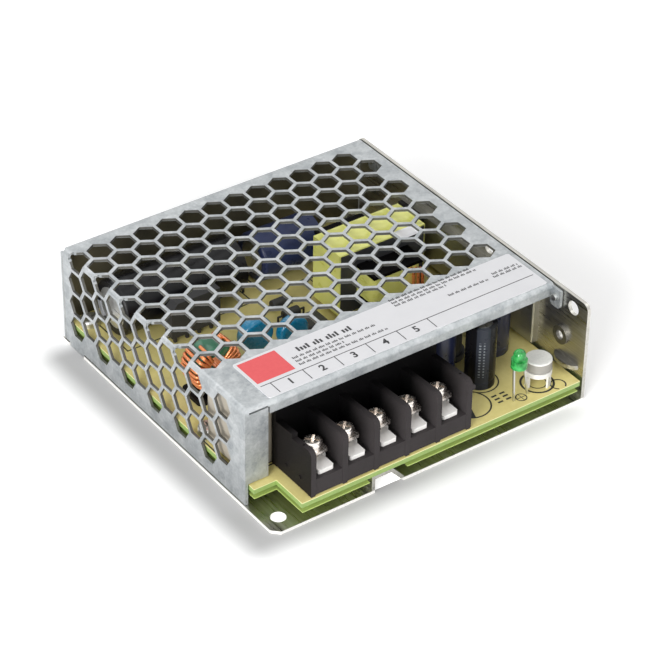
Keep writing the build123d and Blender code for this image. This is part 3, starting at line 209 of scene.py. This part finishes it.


# Mesh cover: galvanised steel sheet, punched with hexagons and folded. The zinc is mottled
# pale grey with faint crystals, and the punched edges show the darker bare steel. The inner
# faces of the side and rear walls are painted dark olive as shade and as a reflection of the
# parts inside.
COVER_FRONT = -0.0365
SHEET = 0.0008
FOLD_ZONE = 0.0022
NEAR = 0.00006
CRYSTAL = 0.0022
cover_low, cover_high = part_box("mesh_cover")
cover = Finish("galvanised_steel", Metallic=0.8)
crystal = cover.add("ShaderNodeTexVoronoi", {}, {"Vector": cover.place(), "Scale": 1 / CRYSTAL}, "Color")
shade = cover.add("ShaderNodeSeparateColor", {}, {0: crystal})
bloom = cover.noise(0.0035, 4.0)
fine = cover.noise(0.0007)
tone = shade * 0.12 + bloom * 0.48 + fine * 0.40
across, along, up = cover.axes()
between_folds = (along < cover_high[1] - FOLD_ZONE) * (along > COVER_FRONT + FOLD_ZONE)
below_fold = up < cover_high[2] - FOLD_ZONE
top_part = between_folds * (across > cover_low[0] + FOLD_ZONE)
side_part = between_folds * below_fold
rear_part = below_fold * (along > cover_high[1] - SHEET - NEAR)
top_cut = top_part * (up > cover_high[2] - SHEET + NEAR) * (up < cover_high[2] - NEAR)
side_cut = side_part * (across > cover_low[0] + NEAR) * (across < cover_low[0] + SHEET - NEAR)
inner_side = side_part * (across > cover_low[0] + SHEET - NEAR) * (across < cover_low[0] + SHEET + NEAR)
inner_rear = rear_part * (along < cover_high[1] - SHEET + NEAR)
zinc_skin = cover.tint(cover.between(tone, 0, 1), screen(146, 151, 154), screen(196, 199, 200))
# Painted shade and reflection: the inner faces of the side and rear walls are dark olive.
inner_shade_tone = cover.between(cover.noise(0.02, 2.0), 0, 1)
painted_inner_shade = cover.tint(inner_shade_tone, screen(78, 76, 66), screen(128, 122, 98))
edged = cover.tint(top_cut + side_cut, zinc_skin, screen(112, 112, 108))
cover.feed(Base_Color=cover.tint(inner_side + inner_rear, edged, painted_inner_shade),
           Roughness=cover.between(fine, 0.46, 0.60))
cover.relief(bloom * 0.5 + fine * 0.5, 0.00005)
dress(cover, "mesh_cover")


# Zinc-plated nuts, spacers and screws: turned or cold-headed steel with a thin plating,
# darker and duller on the clinch nuts.
def mottled(name, size, dark, light, rough=None, bump=None, detail=3.0, stretch=(1, 1, 1), **constants):
    """Finish whose colour, gloss and relief wander with one noise of a size in metres."""
    finish = Finish(name, **constants)
    mask = finish.noise(size, detail, stretch)
    finish.feed(Base_Color=finish.tint(mask, screen(*dark), screen(*light)))
    if rough:
        finish.feed(Roughness=finish.between(mask, *rough))
    if bump:
        finish.relief(mask, *bump)
    return finish


dress(mottled("nut_steel", 0.0008, (186, 186, 184), (220, 220, 216), (0.26, 0.42), Metallic=1.0),
      "cover_screws", "board_spacers", "board_screws", "package_screws")
dress(mottled("clinch_nut_zinc", 0.0007, (104, 102, 98), (148, 146, 140), (0.34, 0.5), Metallic=1.0),
      "clinch_nuts")


# Front label: printed film stuck along the terminal side, with a ruled table, a plain red
# field at its left end and a number above each terminal.
def placed(name, data, finish, body="root"):
    """Object of a mesh, with its finish, riding on a body."""
    piece = bpy.data.objects.new(name, data)
    bpy.context.scene.collection.objects.link(piece)
    piece.data.materials.append(finish.material)
    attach(piece, body)
    return piece


def flat_shapes(name, outlines, height, finish):
    """One thin printed piece from closed outlines of (x, y), lying at a height."""
    mesh = bmesh.new()
    for outline in outlines:
        mesh.faces.new([mesh.verts.new((x, y, height)) for x, y in outline])
    data = bpy.data.meshes.new(name)
    mesh.to_mesh(data)
    mesh.free()
    return placed(name, data, finish)


def strip(x0, x1, y0, y1):
    """Outline of an upright rectangle."""
    return [(x0, y0), (x1, y0), (x1, y1), (x0, y1)]


def strokes(start, end, y, height, width):
    """Row of plain upright strokes in groups."""
    row = []
    x = start
    while x + width < end:
        tall = height * STROKE_HEIGHTS[len(row) % len(STROKE_HEIGHTS)]
        row.append(strip(x, x + width, y, y + tall))
        x += width * (GROUP_PITCH if len(row) % GROUP_CYCLE in GROUP_ENDS else STROKE_PITCH)
    return row


def numeral(text, x, y, size, height, name, finish):
    """Printed number, centred on a point."""
    curve = bpy.data.curves.new(name, "FONT")
    curve.body = text
    curve.size = size
    curve.offset = size * BOLD_SHARE
    curve.align_x = "CENTER"
    curve.align_y = "CENTER"
    holder = bpy.data.objects.new(name + "_text", curve)
    data = bpy.data.meshes.new_from_object(holder)
    bpy.data.objects.remove(holder)
    data.transform(Matrix.Translation((x, y, height)))
    return placed(name, data, finish)


PRINT_LIFT = 0.00002
LABEL_MARGIN = 0.0008
LABEL_FRONT_MARGIN = 0.0006
RULE = 0.00024
NUMBER_ROW = 0.0042
NUMBER_SIZE = 0.0032
BOLD_SHARE = 0.03
FIRST_CELL = 0.0027
CELL = 0.0095
CELLS = 5
FIELD_WIDTH = 0.0112
FIELD_GAP = 0.0014
STROKE_HEIGHTS = (1.0, 0.72, 0.72, 1.0, 0.72)
STROKE_PITCH = 1.55
GROUP_PITCH = 3.2
GROUP_CYCLE = 7
GROUP_ENDS = (0, 4)
HEADING = (-0.0235, -0.0060, -0.0237, 0.0019, 0.00062)
LINE_HEIGHT = 0.00085
LINE_STROKE = 0.00028
LINES = ((-0.0265, -0.0015, -0.0256), (-0.0265, -0.0120, -0.0271), (-0.0265, 0.0005, -0.0286),
         (0.0075, 0.0335, -0.0193), (0.0075, 0.0345, -0.0206), (0.0075, 0.0240, -0.0219),
         (0.0215, 0.0345, -0.0259), (0.0365, 0.0450, -0.0246), (0.0360, 0.0455, -0.0259))
label = mottled("label_film", 0.006, (210, 210, 213), (221, 221, 223), bump=(0.00003, 0.2), detail=2.0,
                Coat_Weight=0.15, Roughness=0.42)
dress(label, "front_label")
ink = mottled("label_ink", 0.0005, (28, 28, 30), (46, 46, 48), Roughness=0.5)
red = mottled("label_red", 0.0008, (214, 78, 82), (224, 94, 96), Roughness=0.45)
label_low, label_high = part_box("front_label")
label_z = label_high[2] + PRINT_LIFT
x0 = label_low[0] + LABEL_MARGIN
x1 = label_high[0] - LABEL_MARGIN
y0 = label_low[1] + LABEL_FRONT_MARGIN
y1 = label_high[1] - LABEL_MARGIN
row_y = y0 + NUMBER_ROW
cell_edges = [x0 + FIRST_CELL + k * CELL for k in range(CELLS + 1)]
rules = [strip(x0, x1, row_y, row_y + RULE)] + [strip(x, x + RULE, y0, row_y) for x in cell_edges]
fine_print = strokes(*HEADING)
for start, end, y in LINES:
    fine_print += strokes(start, end, y, LINE_HEIGHT, LINE_STROKE)
field = strip(x0, x0 + FIELD_WIDTH, row_y + FIELD_GAP, y1)
flat_shapes("label_rules", rules, label_z, ink)
flat_shapes("label_strokes", fine_print, label_z, ink)
flat_shapes("label_field", [field], label_z, red)
for k in range(CELLS):
    centre = (cell_edges[k] + cell_edges[k + 1]) / 2
    numeral(str(k + 1), centre, (y0 + row_y) / 2, NUMBER_SIZE, label_z, f"label_number_{k + 1}", ink)


# Circuit board: single-sided laminate, pale on the part side, with black printed outlines
# round the parts. Its sawn edge is green, with a thin pale band along its top painted as a
# highlight, and the film under it is a clear greenish sheet.
def ring_outlines(x, y, outer, inner, start=0, end=360, steps=48):
    """Quads of a ring, or of part of one, round a centre."""
    angles = [math.radians(start + (end - start) * k / steps) for k in range(steps + 1)]
    quads = []
    for a, b in zip(angles, angles[1:]):
        corners = ((inner, a), (outer, a), (outer, b), (inner, b))
        quads.append([(x + r * math.cos(t), y + r * math.sin(t)) for r, t in corners])
    return quads


def frame_outlines(low, high, gap, line):
    """Four strips round a part's footprint."""
    a, b = low[0] - gap, high[0] + gap
    c, d = low[1] - gap, high[1] + gap
    return [strip(a, b, c - line, c), strip(a, b, d, d + line), strip(a - line, a, c - line, d + line),
            strip(b, b + line, c - line, d + line)]


def middle(name):
    """Centre of a CAD node seen from above."""
    low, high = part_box(name)
    return (low[0] + high[0]) / 2, (low[1] + high[1]) / 2


def on_laminate(outline):
    """Whether an outline lies wholly on the board."""
    return all(board_low[0] < x < board_high[0] and board_low[1] < y < board_high[1] for x, y in outline)


FACE_SKIN = 0.0001
HIGHLIGHT_BAND = 0.0003
board_low, board_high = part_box("circuit_board")
board = Finish("board_laminate", Coat_Weight=0.1)
cloth = board.noise(0.0012, 4.0)
patch = board.noise(0.015, 2.0)
up = board.axes()[2]
weave = board.between(cloth * 0.4 + patch * 0.6, 0, 1)
part_side = board.tint(weave, screen(210, 196, 122), screen(226, 214, 144))
sawn = board.tint(cloth, screen(126, 152, 80), screen(148, 172, 98))
# Painted highlight: a thin pale band along the top of the sawn edge.
edge = board.tint(up > board_high[2] - HIGHLIGHT_BAND, sawn, screen(216, 216, 164))
faces = board.tint(up > board_high[2] - FACE_SKIN, edge, part_side)
board.feed(Base_Color=board.tint(up < board_low[2] + FACE_SKIN, faces, screen(128, 156, 84)),
           Roughness=board.between(cloth, 0.36, 0.50))
board.relief(cloth, 0.00002, 0.3)
dress(board, "circuit_board")

FRAME_GAP = 0.0006
FRAME_LINE = 0.0004
SPARE_PLACE = (0.0171, -0.0414)
SPARE_RING = (0.00575, 0.0053)
SPARE_DARK_SIDE = (0.0053, 0.0, 100, 250, 30)
CAPACITOR_RING = (0.0052, 0.0048)
CORNER_RING = (0.0412, -0.0474, 0.0022, 0.0018)
LAMP_RING = (0.0299, -0.0464, 0.0016, 0.0013)
LAMP_CROSS = ((0.0283, 0.0315, -0.0465, -0.0463), (0.0298, 0.0300, -0.0480, -0.0448))
TRIMMER_RINGS = ((0.0046, 0.0040, 48), (0.0026, 0.0023, 32))
DASH = (0.0016, 0.0006)
DASH_COLUMNS = (0.0236, 0.0262)
DASH_ROWS = (-0.0452, -0.0438, -0.0424)
FRAMED = ("x_capacitor", "bridge_rectifier", "terminal_block", "transformer_bobbin", "optocoupler",
          "control_chip", "bulk_capacitor_sleeve", "second_capacitor_sleeve")
silk = ring_outlines(*SPARE_PLACE, *SPARE_RING)
silk += ring_outlines(*SPARE_PLACE, *SPARE_DARK_SIDE)
silk += ring_outlines(*middle("front_capacitor_sleeve"), *CAPACITOR_RING)
silk += ring_outlines(*CORNER_RING, steps=24)
silk += ring_outlines(*LAMP_RING, steps=20)
silk += [strip(*line) for line in LAMP_CROSS]
for outer, inner, steps in TRIMMER_RINGS:
    silk += ring_outlines(*middle("trimmer_base"), outer, inner, steps=steps)
silk += [strip(x, x + DASH[0], y, y + DASH[1]) for x in DASH_COLUMNS for y in DASH_ROWS]
for name in FRAMED:
    silk += frame_outlines(*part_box(name), FRAME_GAP, FRAME_LINE)
board_print = mottled("board_print", 0.0006, (26, 28, 24), (48, 50, 44), Roughness=0.55)
flat_shapes("board_silkscreen", [outline for outline in silk if on_laminate(outline)],
            board_high[2] + PRINT_LIFT, board_print)
dress(mottled("insulating_film", 0.01, (160, 182, 92), (184, 202, 118), detail=2.0, Roughness=0.28,
              Coat_Weight=0.2), "insulation_film")


# Terminal block: black moulded plastic with a fine spark-eroded texture. Its front is painted
# grey, fading to black further back, as light bounced up from the floor, and its outer end face
# is painted a dimmer grey as the light on that side. The same plastic makes the transformer's
# bobbin and the choke's foot.
GREY_START = 0.001
GREY_END = 0.011
END_SKIN = 0.0004
block_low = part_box("terminal_block")[0]
moulded = Finish("black_moulding", Specular_IOR_Level=0.05)
pores = moulded.noise(0.00025, 2.0)
sheen = moulded.noise(0.006, 2.0)
across, along = moulded.axes()[:2]
# Painted light: grey on the front faces fading to black deeper in, and a dimmer grey on the outer end face.
lit_front = moulded.ramp(along, block_low[1] + GREY_START, block_low[1] + GREY_END, 1.0, 0.0)
end_face = across < block_low[0] + END_SKIN
lit_front_grey = moulded.tint(sheen, screen(52, 49, 49), screen(62, 58, 59))
painted_front_and_end = moulded.tint(end_face, lit_front_grey, screen(30, 28, 27))
plain_black = moulded.tint(sheen, screen(6, 6, 6), screen(12, 11, 12))
moulded.feed(Base_Color=moulded.tint(lit_front.larger(end_face), plain_black, painted_front_and_end),
             Roughness=moulded.between(pores, 0.40, 0.56))
moulded.relief(pores, 0.00003, 0.35)
dress(moulded, "terminal_block", "transformer_bobbin", "choke_stand")


# Contacts, clamp washers and screws: tinned brass plates, and nickel-plated steel with small
# dents round the cross slot.
dress(mottled("tinned_contact", 0.0009, (248, 244, 239), (255, 254, 252), (0.36, 0.52), stretch=(1, 0.3, 1),
              Metallic=0.1, Coat_Weight=0.6), "terminal_contacts")
dress(mottled("screw_steel", 0.0005, (222, 214, 206), (252, 245, 238), (0.18, 0.32), (0.00003, 0.3),
              Metallic=1.0),
      *[f"{part}_{k + 1}" for part in ("terminal_screw", "clamp_washer") for k in range(CELLS)])


# Indicator lamp: round epoxy lens tinted green, with a faint painted glow standing for light
# through the epoxy, on two tinned steel legs. The bridging wires on the board are the same tinned wire.
# The faint emission is painted light through the epoxy.
lens = Finish("lamp_green", Roughness=0.10, Transmission_Weight=0.3, IOR=1.5, Emission_Strength=0.12)
depth = lens.between(lens.noise(0.0015, 2.0), 0, 1)
lens.feed(Base_Color=lens.tint(depth, screen(12, 116, 46), screen(80, 196, 106)),
          Emission_Color=lens.tint(depth, screen(10, 108, 40), screen(64, 176, 86)))
dress(lens, "status_led")
dress(mottled("lead_wire", 0.0004, (188, 188, 184), (222, 222, 218), (0.22, 0.36), detail=2.0,
              stretch=(1, 1, 0.1), Metallic=1.0), "led_legs", "jumper_wires")


# Voltage adjuster: ring of pale ceramic with a turning light-grey disc on top, whose rim is
# painted darker than its face as shade.
KNOB_SKIN = 0.0004
dress(mottled("trimmer_ceramic", 0.0008, (208, 206, 200), (226, 224, 218), (0.45, 0.6)), "trimmer_base")
knob = Finish("knob_grey")
speck = knob.noise(0.0006)
# Painted shade: the disc's rim is darker than its face.
shaded_rim = knob.axes()[2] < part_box("trimmer_knob")[1][2] - KNOB_SKIN
knob_top = knob.tint(speck, screen(212, 212, 207), screen(240, 240, 235))
knob.feed(Base_Color=knob.tint(shaded_rim, knob_top, screen(150, 147, 140)),
          Roughness=knob.between(speck, 0.34, 0.5))
knob.relief(speck, 0.00003, 0.3)
dress(knob, "trimmer_knob")


# Mains filter: box capacitor filled with pale resin, and a ring core coated green with two
# copper windings of single turns.
def tube(name, points, radius, finish):
    """Round wire along a list of points."""
    curve = bpy.data.curves.new(name, "CURVE")
    curve.dimensions = "3D"
    curve.bevel_depth = radius
    curve.bevel_resolution = 2
    curve.use_fill_caps = True
    spline = curve.splines.new("POLY")
    spline.points.add(len(points) - 1)
    for point, place in zip(spline.points, points):
        point.co = (*place, 1)
    holder = bpy.data.objects.new(name + "_path", curve)
    data = bpy.data.meshes.new_from_object(holder)
    bpy.data.objects.remove(holder)
    data.shade_smooth()
    return placed(name, data, finish)


def turn_point(position, around):
    """Point of a turn wrapped over the rounded rectangle of the ring's section."""
    c, s = math.cos(around), math.sin(around)
    radial = (ring_outer + ring_inner) / 2 + half_radial * math.copysign(abs(c) ** SQUARENESS, c)
    axial = half_axial * math.copysign(abs(s) ** SQUARENESS, s)
    return ring_centre + Vector((radial * math.sin(position), axial, radial * math.cos(position)))


CHOKE_TURNS = 10
TURN_STEPS = 28
TURN_WIRE = 0.00048
WIRE_CLEARANCE = 0.0001
CHOKE_SPREAD = 62.0
BORE_SHARE = 6.8 / 12.6
SQUARENESS = 0.45
dress(mottled("box_beige", 0.003, (150, 142, 128), (176, 168, 152), (0.38, 0.52), Coat_Weight=0.1),
      "x_capacitor")
dress(mottled("core_green", 0.0012, (34, 98, 72), (48, 122, 90), (0.3, 0.45), (0.00006, 0.4), detail=2.0,
              Coat_Weight=0.3), "choke_core")
copper = mottled("copper_wire", 0.0015, (220, 116, 62), (250, 166, 108), (0.22, 0.36), Metallic=0.55,
                 Coat_Weight=0.5)
core_low, core_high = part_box("choke_core")
ring_centre = Vector([(a + b) / 2 for a, b in zip(core_low, core_high)])
ring_outer = (core_high[0] - core_low[0]) / 2
ring_inner = ring_outer * BORE_SHARE
half_radial = (ring_outer - ring_inner) / 2 + TURN_WIRE + WIRE_CLEARANCE
half_axial = (core_high[1] - core_low[1]) / 2 + TURN_WIRE + WIRE_CLEARANCE
for side, middle_angle in (("right", 90), ("left", 270)):
    path = []
    for k in range(CHOKE_TURNS * TURN_STEPS + 1):
        share = k / (CHOKE_TURNS * TURN_STEPS)
        position = math.radians(middle_angle - CHOKE_SPREAD + 2 * CHOKE_SPREAD * share)
        path.append(turn_point(position, 2 * math.pi * CHOKE_TURNS * share))
    tube(f"choke_turns_{side}", path, TURN_WIRE, copper)
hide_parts("choke_windings")


# Dipped parts: two blue lacquered discs beside the choke, a dark green one in front of it,
# and the fuse in brown.
def dipped(name, dark, light):
    """Lacquer dipped over a part, slightly uneven."""
    return mottled(name, 0.003, dark, light, (0.22, 0.36), (0.00015, 0.5), detail=2.0, Coat_Weight=0.5)


dress(dipped("disc_blue", (4, 112, 156), (22, 146, 190)), "varistor", "safety_capacitor")
dress(dipped("disc_green", (30, 42, 32), (48, 62, 46)), "thermistor")
dress(dipped("fuse_brown", (36, 30, 26), (56, 48, 42)), "input_fuse")


# Electrolytic capacitors: aluminium cans in shrunk plastic sleeves with a stripe down one
# side, closed by a rubber bung. The front one also has pale printed dashes.
def sleeve(name, node, axis, dark, light, stripe, toward, half_angle, gloss=0.35):
    """Sleeve with a stripe along its axis, on the side that faces a direction in degrees."""
    low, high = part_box(node)
    skin = Finish(name, Specular_IOR_Level=gloss)
    axes = skin.axes()
    first, second = (0, 1) if axis == "Z" else (1, 2)
    a = axes[first] - (low[first] + high[first]) / 2
    b = axes[second] - (low[second] + high[second]) / 2

    def band(direction, half):
        """Strip of the sleeve as wide as an angle to both sides of a direction."""
        turn = math.radians(direction)
        ahead = a * math.cos(turn) + b * math.sin(turn)
        offset = a * -math.sin(turn) + b * math.cos(turn)
        return offset.absolute() < ahead * math.tan(math.radians(half))

    ripple = skin.noise(0.004, 2.0)
    plain = skin.tint(ripple, screen(*dark), screen(*light))
    colour = skin.tint(band(toward, half_angle), plain, screen(*stripe))
    if axis == "Z":
        z = axes[2]
        steps = (z * (1 / PRINT_PITCH)).maths("FRACT") < PRINT_SHARE
        middle_part = (z < high[2] - PRINT_DROP) * (z > low[2] + PRINT_DROP)
        rows = [band(toward + aside, half) for aside, half in PRINT_ROWS]
        colour = skin.tint(steps * middle_part * (rows[0] + rows[1]), colour, PRINT_GREY)
    skin.feed(Base_Color=colour, Roughness=skin.between(ripple, 0.24, 0.38))
    skin.relief(ripple, 0.0001, 0.3)
    dress(skin, node)


PRINT_PITCH = 0.0009
PRINT_SHARE = 0.45
PRINT_DROP = 0.004
PRINT_GREY = screen(112, 117, 122)
PRINT_ROWS = ((-12, 4), (4, 3))
BLACK_SLEEVE = ((8, 8, 10), (18, 18, 21))
sleeve("sleeve_front", "front_capacitor_sleeve", "Z", *BLACK_SLEEVE, (44, 47, 54), 240, 26, 0.2)
sleeve("sleeve_bulk", "bulk_capacitor_sleeve", "X", *BLACK_SLEEVE, (150, 152, 156), 330, 20)
sleeve("sleeve_second", "second_capacitor_sleeve", "X", (30, 38, 68), (54, 64, 102), (176, 180, 190), 330, 20)
dress(mottled("sleeve_navy", 0.004, (22, 26, 46), (38, 44, 72), (0.24, 0.38), detail=2.0, Coat_Weight=0.25),
      "output_capacitor_sleeves")
dress(mottled("can_aluminium", 0.0007, (196, 196, 196), (226, 226, 225), (0.28, 0.42), Metallic=1.0),
      "bulk_capacitor_can", "second_capacitor_can", "front_capacitor_can", "output_capacitor_cans")
dress(mottled("rubber_bung", 0.001, (30, 30, 30), (50, 50, 49), (0.6, 0.75)),
      "bulk_capacitor_bung", "second_capacitor_bung")


# Transformer: two sintered ferrite cores bound with yellow polyester tape, on a black bobbin
# whose winding is closed with more tape, and copper leads at its front.
NOTE = (0.0296, 0.0356, 0.0046, 0.0086)
dress(mottled("ferrite", 0.0005, (40, 41, 43), (62, 63, 65), (0.42, 0.58), (0.00004, 0.4)),
      "transformer_core", "output_choke")
dress(mottled("tape_yellow", 0.005, (232, 234, 112), (248, 248, 158), (0.24, 0.40), (0.00025, 0.4),
              stretch=(1, 1, 2), Coat_Weight=0.4), "transformer_tape", "transformer_winding")
dress(copper, "transformer_leads")
paper_note = mottled("paper_note", 0.002, (244, 243, 248), (252, 252, 254), Roughness=0.6)
note_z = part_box("transformer_tape")[1][2] + PRINT_LIFT
flat_shapes("paper_note", [strip(*NOTE)], note_z, paper_note)


# Power parts: an extruded aluminium bar inside the wall carries the heat of two moulded
# packages, and small moulded chips and lacquered axial parts stand on the board.
dress(mottled("spreader_aluminium", 0.0005, (176, 175, 168), (206, 205, 198), (0.32, 0.46),
              stretch=DRAWN_ALONG_Y, Metallic=1.0), "heat_spreader")
dress(mottled("chip_black", 0.0004, (32, 32, 33), (50, 50, 51), (0.45, 0.6), (0.00003, 0.3), detail=2.0),
      "bridge_rectifier", "output_rectifier", "power_transistor", "optocoupler", "control_chip", "diodes")
dress(mottled("part_tan", 0.001, (176, 150, 108), (204, 178, 132), (0.3, 0.45), detail=2.0, Coat_Weight=0.3),
      "resistors")


# Studio: pale floor with a soft shadow painted into its colour round the case, besides the
# shadows the lamps cast, and painted bright under the case; white surroundings, a low key light
# from the left, a fill from the front, lights above, behind and right, and the photograph's camera.
FLOOR_REACH = 3.0
FLOOR_WHITE = 0.94
SHADE_WIDTH = 0.0094
SHADE_CENTRE = (-0.0058, -0.0038)
SHADE_INSET = (0.002, 0.004)
CASE_INSET = 0.001
SHADE_DEPTH = (-0.01, 0.05, 0.38, 0.72)
GLOW_SPREAD = (0.065, 0.17)
GLOW_NEAR = (0.08, 0.08, 0.08)
GLOW_FAR = (0.60, 0.60, 0.60)
floor_corners = [(x * FLOOR_REACH, y * FLOOR_REACH, 0) for x, y in ((-1, -1), (1, -1), (1, 1), (-1, 1))]
floor_data = bpy.data.meshes.new("floor")
floor_data.from_pydata(floor_corners, [], [(0, 1, 2, 3)])
floor = bpy.data.objects.new("floor", floor_data)
bpy.context.scene.collection.objects.link(floor)
paper = Finish("floor_paper", Roughness=1.0, Specular_IOR_Level=0.0)
# Painted shadow: the paper darkens toward the case's outline, most on the left, and stays white under the
# case as painted light seen through its holes.
under_case = 1.0
outside = 0.0
for axis, place in enumerate(paper.axes()[:2]):
    half = (cad_box[1][axis] - cad_box[0][axis]) / 2
    past = ((place - SHADE_CENTRE[axis]).absolute() - (half - SHADE_INSET[axis])).larger(0.0)
    outside = past * past + outside
    under_case = (place.absolute() < half - CASE_INSET) * under_case
lit = paper.ramp(outside.maths("SQRT"), 0.0, SHADE_WIDTH, interpolation_type="SMOOTHSTEP")
deepest = paper.ramp(paper.axes()[0], *SHADE_DEPTH)
paper.feed(Base_Color=deepest + lit.larger(under_case) * (FLOOR_WHITE - deepest))
# Glow for camera and glossy rays, weak near the case and strong far off, and full under the case.
far_off = paper.add("ShaderNodeVectorMath", {"operation": "LENGTH"}, {0: paper.place()}, "Value")
open_glow = paper.tint(paper.ramp(far_off, *GLOW_SPREAD).larger(under_case), GLOW_NEAR, GLOW_FAR)
seen = paper.light_path("Camera") + paper.light_path("Glossy") + paper.light_path("Transmission")
paper.feed(Emission_Color=paper.tint(seen, (0, 0, 0), open_glow), Emission_Strength=1.0)
floor.data.materials.append(paper.material)

DIFFUSE_STRENGTH = 0.26
world = bpy.data.worlds.new("studio")
world.use_nodes = True
bpy.context.scene.world = world
studio = Nodes(world.node_tree, "Background")
direct = studio.light_path("Camera").larger(studio.light_path("Glossy"))
direct = direct.larger(studio.light_path("Transmission"))
studio.feed(Color=(1, 1, 1), Strength=studio.ramp(direct, 0.0, 1.0, DIFFUSE_STRENGTH, 1.0))

LIGHT_AIM = Vector((0, 0, 0.01))
LIGHTS = (("key", (-0.85, -0.50, 0.38), 0.5, 12.5), ("fill", (-0.05, -0.92, 0.50), 0.6, 3.0),
          ("rear", (-0.10, 0.80, 0.65), 0.6, 2.0), ("right", (0.85, -0.10, 0.70), 0.6, 1.9),
          ("overhead", (0.05, -0.05, 1.15), 0.5, 1.9))
for name, place, size, power in LIGHTS:
    light = bpy.data.lights.new(name, "AREA")
    light.size = size
    light.energy = power
    lamp = bpy.data.objects.new(name, light)
    lamp.location = place
    lamp.rotation_euler = (LIGHT_AIM - Vector(place)).to_track_quat("-Z", "Y").to_euler()
    bpy.context.scene.collection.objects.link(lamp)

CAMERA_PLACE = (-0.33481, -0.46458, 0.42427)
CAMERA_TURN = -35.923
CAMERA_PITCH = 54.388
CAMERA_ROLL = 0.840
CAMERA_LENS = 150.04
camera_data = bpy.data.cameras.new("camera")
camera_data.sensor_width = 36.0
camera_data.lens = CAMERA_LENS
camera_data.clip_start = 0.05
camera = bpy.data.objects.new("camera", camera_data)
turn = Matrix.Rotation(math.radians(CAMERA_TURN), 4, "Z")
pitch = Matrix.Rotation(math.radians(CAMERA_PITCH), 4, "X")
roll = Matrix.Rotation(math.radians(CAMERA_ROLL), 4, "Z")
camera.matrix_world = Matrix.Translation(CAMERA_PLACE) @ turn @ pitch @ roll
bpy.context.scene.collection.objects.link(camera)
bpy.context.scene.camera = camera
bpy.context.scene.view_settings.view_transform = "Standard"
